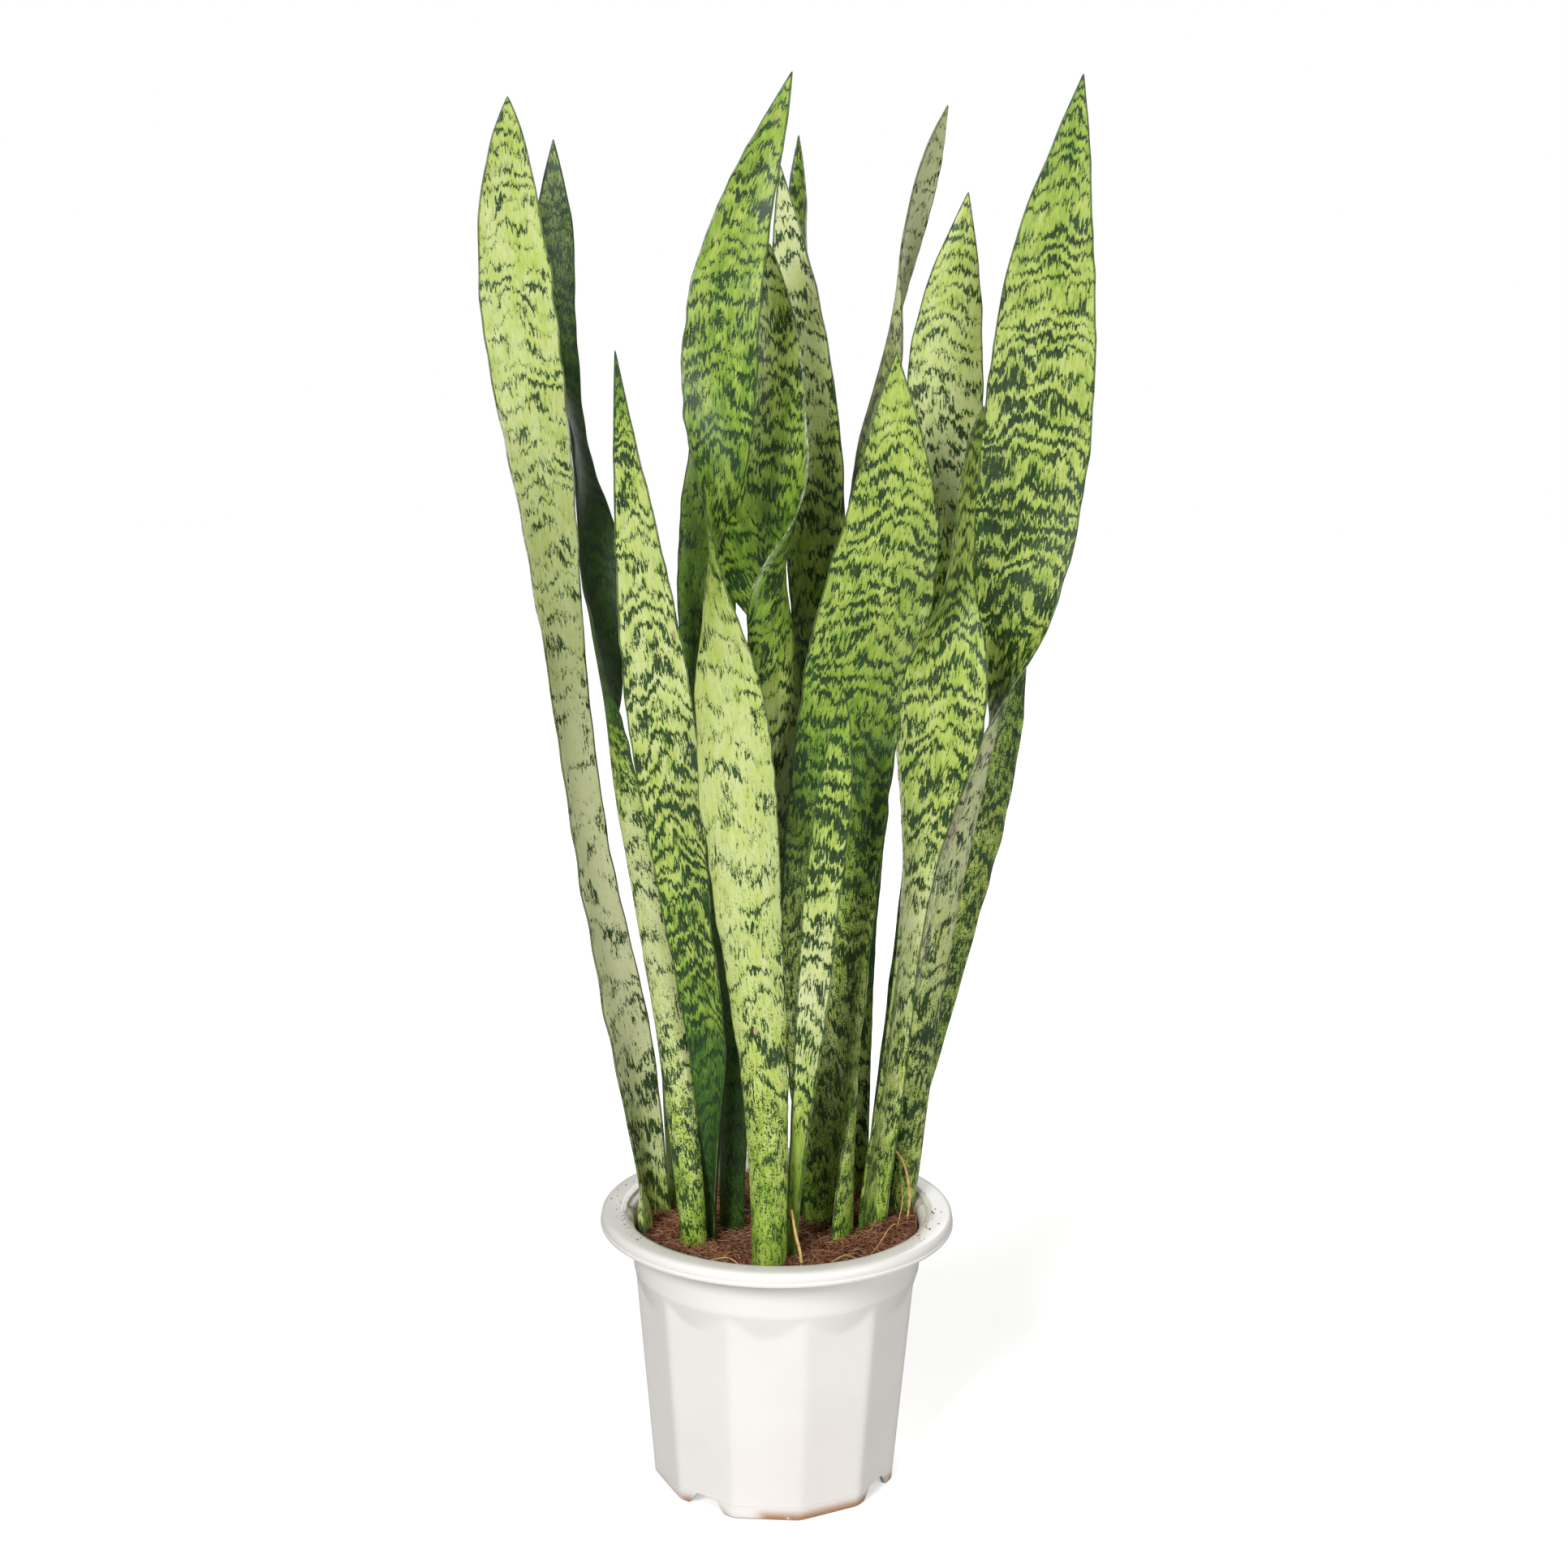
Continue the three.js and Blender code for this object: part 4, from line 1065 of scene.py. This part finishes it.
def soil_height(x, y):
    """The coir's surface: a gentle slope with clumps, in mm."""
    level = SOIL_LEVEL + SOIL_SLOPE * (x + y)
    level += 1.4 * math.sin(x / 8 + 1) * math.sin(y / 9 + 2) + 1.1 * math.sin(x / 5 - y / 6)
    for middle_x, middle_y, spread, rise in SOIL_MOUNDS:
        level += rise * math.exp(-((x - middle_x) ** 2 + (y - middle_y) ** 2) / (2 * spread ** 2))
    clumps = 2.6 * noise.noise(Vector((x / 10, y / 10, 3.1)))
    lumps = 1.7 * noise.noise(Vector((x / 3.6, y / 3.6, 8.2)))
    level += clumps + lumps
    return level + 0.5 * noise.noise(Vector((x / 1.5, y / 1.5, 5.5)))


def soil_finish():
    material, tree, shader = new_material("coir_bed")
    at = tree.add("ShaderNodeTexCoord").outputs["Object"]
    clump = tree.noise(at, 160.0, 5.0, 0.7)
    grain = tree.group(GRAIN, Vector=at, Fibre_Scale=420.0, Pore_Scale=1500.0)
    colour = tree.mix(tree.ramp(clump, 0.35, 0.68), linear("45281e"), linear("8e583e"))
    colour = tree.mix(tree.ramp(grain.outputs["Fibre"], 0.55, 0.75), colour, linear("b47c58"))
    tree.feed(shader["Base Color"], colour)
    tree.feed(shader["Roughness"], tree.times_plus(clump, 0.2, 0.75))
    bump = tree.add("ShaderNodeBump", Strength=0.9, Distance=0.001, Height=grain.outputs["Height"])
    tree.feed(shader["Normal"], bump.outputs[0])
    return material


def fibre_finish():
    """Coir fibres and crumbs: each one takes its own shade from its tint."""
    material, tree, shader = new_material("coir_fibre")
    at = tree.add("ShaderNodeTexCoord").outputs["Object"]
    tint = tree.attribute("tint")
    shade = tree.add("ShaderNodeValToRGB")
    tree.feed(shade.inputs[0], tint)
    ramp = shade.color_ramp
    ramp.elements[0].color = linear("5c3626")
    ramp.elements[1].color = linear("e6bb90")
    for position, code in ((0.3, "925a40"), (0.6, "b97e5b"), (0.85, "d09a72")):
        ramp.elements.new(position).color = linear(code)
    grain = tree.group(GRAIN, Vector=at, Fibre_Scale=500.0, Pore_Scale=2200.0)
    colour = tree.mix(tree.times(grain.outputs["Height"], 0.35), shade.outputs[0], linear("4c2c20"))
    tree.feed(shader["Base Color"], colour)
    tree.feed(shader["Roughness"], tree.times_plus(grain.outputs["Fibre"], 0.25, 0.6))
    return material


def straw_finish():
    material, tree, shader = new_material("dry_straw")
    at = tree.add("ShaderNodeTexCoord").outputs["Object"]
    grain = tree.group(GRAIN, Vector=at, Fibre_Scale=350.0, Pore_Scale=1800.0)
    colour = tree.mix(tree.ramp(grain.outputs["Fibre"], 0.35, 0.7), linear("e2bb7c"), linear("b98a50"))
    tree.feed(shader["Base Color"], colour)
    tree.feed(shader["Roughness"], tree.times_plus(grain.outputs["Fibre"], 0.3, 0.4))
    bump = tree.add("ShaderNodeBump", Strength=0.4, Distance=0.0003, Height=grain.outputs["Height"])
    tree.feed(shader["Normal"], bump.outputs[0])
    return material


def soil_bed(material):
    """Closed bed: the uneven top, and a plain side and underside against the pot's wall and floor."""
    around = 220
    radii = [SOIL_RADIUS * (k / 48) ** 0.9 for k in range(1, 49)]
    points = [(0, 0, soil_height(0, 0))]
    for radius in radii:
        for j in range(around):
            angle = 2 * math.pi * j / around
            x, y = radius * math.sin(angle), -radius * math.cos(angle)
            points.append((x, y, soil_height(x, y)))
    side = ((SOIL_RADIUS - 0.6, 132), (78.4, 122), (74.6, 108), (SOIL_FOOT_RADIUS, 13), (62, SOIL_FOOT))
    for radius, z in side:
        for j in range(around):
            angle = 2 * math.pi * j / around
            points.append((radius * math.sin(angle), -radius * math.cos(angle), z))
    points.append((0, 0, SOIL_FOOT))
    faces = []
    for j in range(around):
        faces.append((0, 1 + j, 1 + (j + 1) % around))
    rings = len(radii) + len(side)
    for i in range(rings - 1):
        for j in range(around):
            k = (j + 1) % around
            a, b = 1 + i * around, 1 + (i + 1) * around
            faces.append((a + j, b + j, b + k, a + k))
    last = 1 + (rings - 1) * around
    for j in range(around):
        faces.append((last + j, len(points) - 1, last + (j + 1) % around))
    piece = mesh_object("coir_bed", [Vector(point) * MM for point in points], faces, material)
    outward(piece)
    return piece


def loose_fibres():
    """Curly fibres strewn over the top of a bed, lying at random and kept inside a round wall."""
    tree, given, made = new_shaping("loose_fibres", {
        "Density": ("Float", 150000.0),
        "Seed": ("Int", 5),
        "Length Low": ("Float", 8 * MM),
        "Length High": ("Float", 24 * MM),
        "Tilt": ("Float", 0.35),
        "Lift": ("Float", 0.8 * MM),
        "Curl": ("Float", 9 * MM),
        "Thickness": ("Float", 0.22 * MM),
        "Wall Radius": ("Float", 79.3 * MM),
    })
    facing = tree.split(tree.add("GeometryNodeInputNormal").outputs[0])
    upward = tree.math("GREATER_THAN", facing["Z"], 0.4)
    sown = tree.add("GeometryNodeDistributePointsOnFaces", {"distribute_method": "RANDOM"},
                    Mesh=given["Geometry"], Selection=upward, Density=given["Density"], Seed=given["Seed"])
    line = tree.add("GeometryNodeCurvePrimitiveLine")
    tree.feed(line.inputs["Start"], (-0.5, 0.0, 0.0))
    tree.feed(line.inputs["End"], (0.5, 0.0, 0.0))
    fine = tree.add("GeometryNodeResampleCurve", Curve=line, Count=9)

    tilt = tree.vector(0.0, given["Tilt"], math.pi)
    down = tree.vector(0.0, tree.times(given["Tilt"], -1.0), -math.pi)
    turn = chance(tree, given["Seed"], "FLOAT_VECTOR", down, tilt, 1)
    length = chance(tree, given["Seed"], "FLOAT", given["Length Low"], given["Length High"], 2)
    raised = tree.add("GeometryNodeSetPosition", Geometry=sown, Offset=tree.vector(0.0, 0.0, given["Lift"]))
    strewn = tree.add("GeometryNodeInstanceOnPoints", Points=raised, Instance=fine,
                      Rotation=turn, Scale=length)
    tinted = tree.add("GeometryNodeStoreNamedAttribute", {"data_type": "FLOAT", "domain": "INSTANCE"},
                      Geometry=strewn, Name="tint")
    tree.feed(tinted.inputs["Value"], chance(tree, given["Seed"], "FLOAT", 0.0, 1.0, 3))
    real = tree.add("GeometryNodeRealizeInstances", Geometry=tinted)

    place = tree.add("GeometryNodeInputPosition").outputs[0]
    own = tree.add("GeometryNodeInputNamedAttribute", {"data_type": "FLOAT"}, Name="tint").outputs[0]
    around = tree.add("ShaderNodeVectorMath", {"operation": "MULTIPLY_ADD"})
    tree.feed(around.inputs[0], place)
    tree.feed(around.inputs[1], (90.0, 90.0, 90.0))
    tree.feed(around.inputs[2], tree.vector(tree.times(own, 700.0), 0.0, 0.0))
    swirl = tree.noise(around.outputs[0], 1.0, 2.0, 0.5, "Color")
    centred = tree.add("ShaderNodeVectorMath", {"operation": "SUBTRACT"})
    tree.feed(centred.inputs[0], swirl)
    tree.feed(centred.inputs[1], (0.5, 0.5, 0.42))
    curled = tree.add("ShaderNodeVectorMath", {"operation": "SCALE"})
    tree.feed(curled.inputs[0], centred.outputs[0])
    tree.feed(curled.inputs["Scale"], given["Curl"])
    bent = tree.add("GeometryNodeSetPosition", Geometry=real, Offset=curled.outputs[0])

    part = tree.split(place)
    x, y, z = part
    radius = tree.math("SQRT", tree.times_plus(x, x, tree.times(y, y)))
    shrink = tree.math("MINIMUM", 1.0, tree.over(given["Wall Radius"], radius))
    held = tree.vector(tree.times(x, shrink), tree.times(y, shrink), z)
    kept = tree.add("GeometryNodeSetPosition", Geometry=bent, Position=held)

    along = tree.add("GeometryNodeSplineParameter").outputs["Factor"]
    off_middle = tree.math("ABSOLUTE", tree.times_plus(along, 2.0, -1.0))
    taper = tree.minus(1.0, tree.math("POWER", off_middle, 3.0))
    thin = tree.times_plus(taper, 0.75, 0.25)
    thinned = tree.add("GeometryNodeSetCurveRadius", Curve=kept, Radius=thin)
    ring = tree.add("GeometryNodeCurvePrimitiveCircle", {"mode": "RADIUS"}, Resolution=3,
                    Radius=given["Thickness"])
    tubes = tree.add("GeometryNodeCurveToMesh", Curve=thinned, Profile_Curve=ring)
    tree.feed(tubes.inputs["Fill Caps"], True)
    if "Scale" in tubes.inputs:
        tree.feed(tubes.inputs["Scale"], thin)
    finish_shaping(tree, tubes, given, made)
    return tree.tree


def crumbs():
    """Rough crumbs on given points, each of its own size, turn and tint."""
    tree, given, made = new_shaping("crumbs", {
        "Size Low": ("Float", 0.3 * MM),
        "Size High": ("Float", 1.3 * MM),
        "Seed": ("Int", 9),
    })
    ball = tree.add("GeometryNodeMeshIcoSphere", Radius=1.0, Subdivisions=1)
    rough = tree.noise(tree.add("GeometryNodeInputPosition").outputs[0], 1.6, 2.0, 0.5, "Color")
    off = tree.add("ShaderNodeVectorMath", {"operation": "SUBTRACT"})
    tree.feed(off.inputs[0], rough)
    tree.feed(off.inputs[1], (0.5, 0.5, 0.5))
    dented = tree.add("GeometryNodeSetPosition", Geometry=ball.outputs[0], Offset=off.outputs[0])
    points = tree.add("GeometryNodeMeshToPoints", Mesh=given["Geometry"])

    turn = chance(tree, given["Seed"], "FLOAT_VECTOR", (0.0, 0.0, 0.0), (6.28, 6.28, 6.28), 1)
    share = tree.math("POWER", chance(tree, given["Seed"], "FLOAT", 0.0, 1.0, 2), 3.0)
    size = tree.times_plus(share, tree.minus(given["Size High"], given["Size Low"]), given["Size Low"])
    laid = tree.add("GeometryNodeInstanceOnPoints", Points=points, Instance=dented,
                    Rotation=turn, Scale=size)
    tinted = tree.add("GeometryNodeStoreNamedAttribute", {"data_type": "FLOAT", "domain": "INSTANCE"},
                      Geometry=laid, Name="tint")
    tree.feed(tinted.inputs["Value"], chance(tree, given["Seed"], "FLOAT", 0.0, 0.75, 3))
    finish_shaping(tree, tinted, given, made)
    return tree.tree


def straw(name, thickness, path, material):
    """A thin dry straw through a few points, thinner towards both ends."""
    knots = np.array(path, float)
    run = np.append(0, np.cumsum(np.linalg.norm(np.diff(knots, axis=0), axis=1)))
    steps = 24
    line = through(run, knots, np.linspace(0, run[-1], steps + 1))
    ahead = unit(np.gradient(line, axis=0))
    side = unit(np.cross(ahead, (0.3, 0.2, 1.0)))
    up = np.cross(side, ahead)
    points, faces = [], []
    sides = 8
    for i in range(steps + 1):
        share = i / steps
        radius = thickness * (0.45 + 0.55 * math.sin(math.pi * min(max(share, 0.06), 0.94)) ** 0.6)
        for j in range(sides):
            angle = 2 * math.pi * j / sides
            points.append((line[i] + radius * (math.cos(angle) * side[i] + math.sin(angle) * up[i])) * MM)
    for i in range(steps):
        for j in range(sides):
            k = (j + 1) % sides
            faces.append((i * sides + j, i * sides + k, (i + 1) * sides + k, (i + 1) * sides + j))
    faces.append(tuple(range(sides))[::-1])
    faces.append(tuple(range(steps * sides, (steps + 1) * sides)))
    piece = mesh_object(name, points, faces, material)
    outward(piece)
    return piece


def strewn_points(count, seed):
    """Points for crumbs all over the soil."""
    draw = random.Random(seed)
    points = []
    for _ in range(count):
        radius = 79 * math.sqrt(draw.random())
        angle = draw.uniform(0, 2 * math.pi)
        x, y = radius * math.sin(angle), -radius * math.cos(angle)
        points.append((x * MM, y * MM, (soil_height(x, y) + 0.3) * MM))
    return points


# Angle round the rim, spread of the angle, and number of crumbs
RIM_SPILLS = ((-72, 14, 16), (-100, 16, 9), (64, 12, 22), (88, 14, 10), (20, 40, 4), (180, 60, 8))


def rim_points(seed):
    """Points for crumbs spilled in a few clusters on the rim."""
    draw = random.Random(seed)
    points = []
    for middle, spread, count in RIM_SPILLS:
        for k in range(count):
            angle = math.radians(draw.gauss(middle, spread))
            radius = draw.choice((draw.uniform(87.5, 90), draw.uniform(88, 95)))
            lift = 154.7 if radius > 90 else 154.45
            points.append((radius * math.sin(angle) * MM, -radius * math.cos(angle) * MM, lift * MM))
    return points


def soil():
    bed = soil_bed(soil_finish())
    fibre = fibre_finish()
    shapes = loose_fibres()
    bed_points = [vertex.co for vertex in bed.data.vertices]
    bed_faces = [tuple(face.vertices) for face in bed.data.polygons]
    for name, values in (
        ("loose_fibres", {"Density": 110000.0, "Seed": 5}),
        ("short_fibres", {"Density": 120000.0, "Seed": 31, "Length_Low": 3 * MM, "Length_High": 9 * MM,
                          "Curl": 5 * MM, "Tilt": 0.5, "Thickness": 0.3 * MM, "Lift": 0.5 * MM}),
    ):
        strands = mesh_object(name, bed_points, bed_faces, fibre)
        shape_with(strands, shapes, Material=fibre, **values)
        join_to_part(strands, "coir_soil", "soil")
    crumb = crumbs()
    spills = (("soil_crumbs", strewn_points(900, 4), 1.9), ("rim_crumbs", rim_points(6), 0.6))
    for name, points, high in spills:
        bits = mesh_object(name, points, [], fibre)
        shape_with(bits, crumb, Material=fibre, Size_High=high * MM)
        join_to_part(bits, "coir_soil", "soil")
    join_to_part(bed, "coir_soil", "soil")

    dry = straw_finish()
    for node, (thickness, path) in STRAWS.items():
        join_to_part(straw(node + "_stalk", thickness, path, dry), "straw", node)
    for k, (thickness, path) in enumerate(LOOSE_STRAWS):
        piece = straw("loose_straw_%d" % (k + 1), thickness, path, dry)
        join_to_part(piece, "straw")


soil()


# --------------------------------------------------------------------------------------------------
# Studio: pale floor, soft light and the camera
# --------------------------------------------------------------------------------------------------
CAMERA_PLACE = (0.0, -1063.5 * MM, 561 * MM)
CAMERA_PITCH = 8.80
CAMERA_ROLL = 0.49
CAMERA_YAW = 0.107
CAMERA_LENS = 45.0


def studio_camera():
    data = bpy.data.cameras.new("studio_camera")
    data.lens = CAMERA_LENS
    data.sensor_width = 36.0
    data.clip_start = 0.01
    data.clip_end = 50.0
    camera = bpy.data.objects.new("studio_camera", data)
    pitch, roll, yaw = (math.radians(a) for a in (CAMERA_PITCH, CAMERA_ROLL, CAMERA_YAW))
    ahead = Vector((math.sin(yaw) * math.cos(pitch), math.cos(yaw) * math.cos(pitch), -math.sin(pitch)))
    right = ahead.cross(Vector((0, 0, 1))).normalized()
    up = right.cross(ahead)
    turned_right = math.cos(roll) * right + math.sin(roll) * up
    turned_up = -math.sin(roll) * right + math.cos(roll) * up
    axes = Matrix((turned_right, turned_up, -ahead)).transposed()
    camera.matrix_world = Matrix.Translation(CAMERA_PLACE) @ axes.to_4x4()
    bpy.context.scene.collection.objects.link(camera)
    bpy.context.scene.camera = camera


def softbox(name, place, target, size, power, colour=(1, 1, 1)):
    data = bpy.data.lights.new(name, "AREA")
    data.shape = "RECTANGLE"
    data.size, data.size_y = size
    data.energy = power
    data.color = colour
    light = bpy.data.objects.new(name, data)
    light.location = place
    light.rotation_mode = "QUATERNION"
    light.rotation_quaternion = (Vector(target) - Vector(place)).to_track_quat("-Z", "Y")
    bpy.context.scene.collection.objects.link(light)


def sun(name, toward, strength, spread):
    data = bpy.data.lights.new(name, "SUN")
    data.energy = strength
    data.angle = math.radians(spread)
    light = bpy.data.objects.new(name, data)
    light.rotation_mode = "QUATERNION"
    light.rotation_quaternion = Vector(toward).to_track_quat("Z", "Y")
    bpy.context.scene.collection.objects.link(light)


def studio():
    floor_material, tree, shader = new_material("pale_floor")
    at = tree.add("ShaderNodeTexCoord").outputs["Object"]
    seen = tree.add("ShaderNodeLightPath").outputs["Is Camera Ray"]
    tint = tree.mix(tree.noise(at, 3.0, 3.0), linear("f6f5f3"), linear("f8f8f7"))
    tree.feed(shader["Base Color"], tree.mix(seen, linear("a8a8a6"), tint))
    tree.feed(shader["Emission Color"], tree.mix(seen, linear("000000"), linear("ffffff")))
    shader["Emission Strength"].default_value = 0.5
    shader["Roughness"].default_value = 0.8
    shader["Specular IOR Level"].default_value = 0.2
    half = 20.0
    corners = [(-half, -half, 0), (half, -half, 0), (half, half, 0), (-half, half, 0)]
    floor = mesh_object("floor", [(x, y, -0.0002) for x, y, z in corners], [(0, 1, 2, 3)], floor_material)

    world = bpy.data.worlds.new("studio")
    world.use_nodes = True
    background = world.node_tree.nodes["Background"]
    background.inputs["Color"].default_value = (1.0, 1.0, 1.0, 1.0)
    background.inputs["Strength"].default_value = 0.17
    world_tree = Tree(world.node_tree)
    seen = world_tree.add("ShaderNodeBackground", Color=(1.0, 1.0, 1.0, 1.0), Strength=1.0)
    pick = world_tree.add("ShaderNodeMixShader")
    world_tree.feed(pick.inputs[0], world_tree.add("ShaderNodeLightPath").outputs["Is Camera Ray"])
    world_tree.feed(pick.inputs[1], background.outputs[0])
    world_tree.feed(pick.inputs[2], seen.outputs[0])
    world_tree.feed(world.node_tree.nodes["World Output"].inputs["Surface"], pick.outputs[0])
    bpy.context.scene.world = world
    sun("key_sun", (-0.55, -1.0, 0.7), 2.0, 18)
    sun("fill_sun", (0.9, -1.0, 0.4), 1.25, 34)
    sun("back_sun", (0.3, 1.0, 0.9), 0.45, 40)
    softbox("key_box", (-1.1, -1.7, 1.1), (0, 0, 0.4), (0.5, 1.6), 7)
    softbox("back_box", (0.7, 2.0, 1.4), (0, 0, 0.4), (1.6, 1.4), 10)
    bpy.context.scene.view_settings.view_transform = "Standard"


studio_camera()
studio()
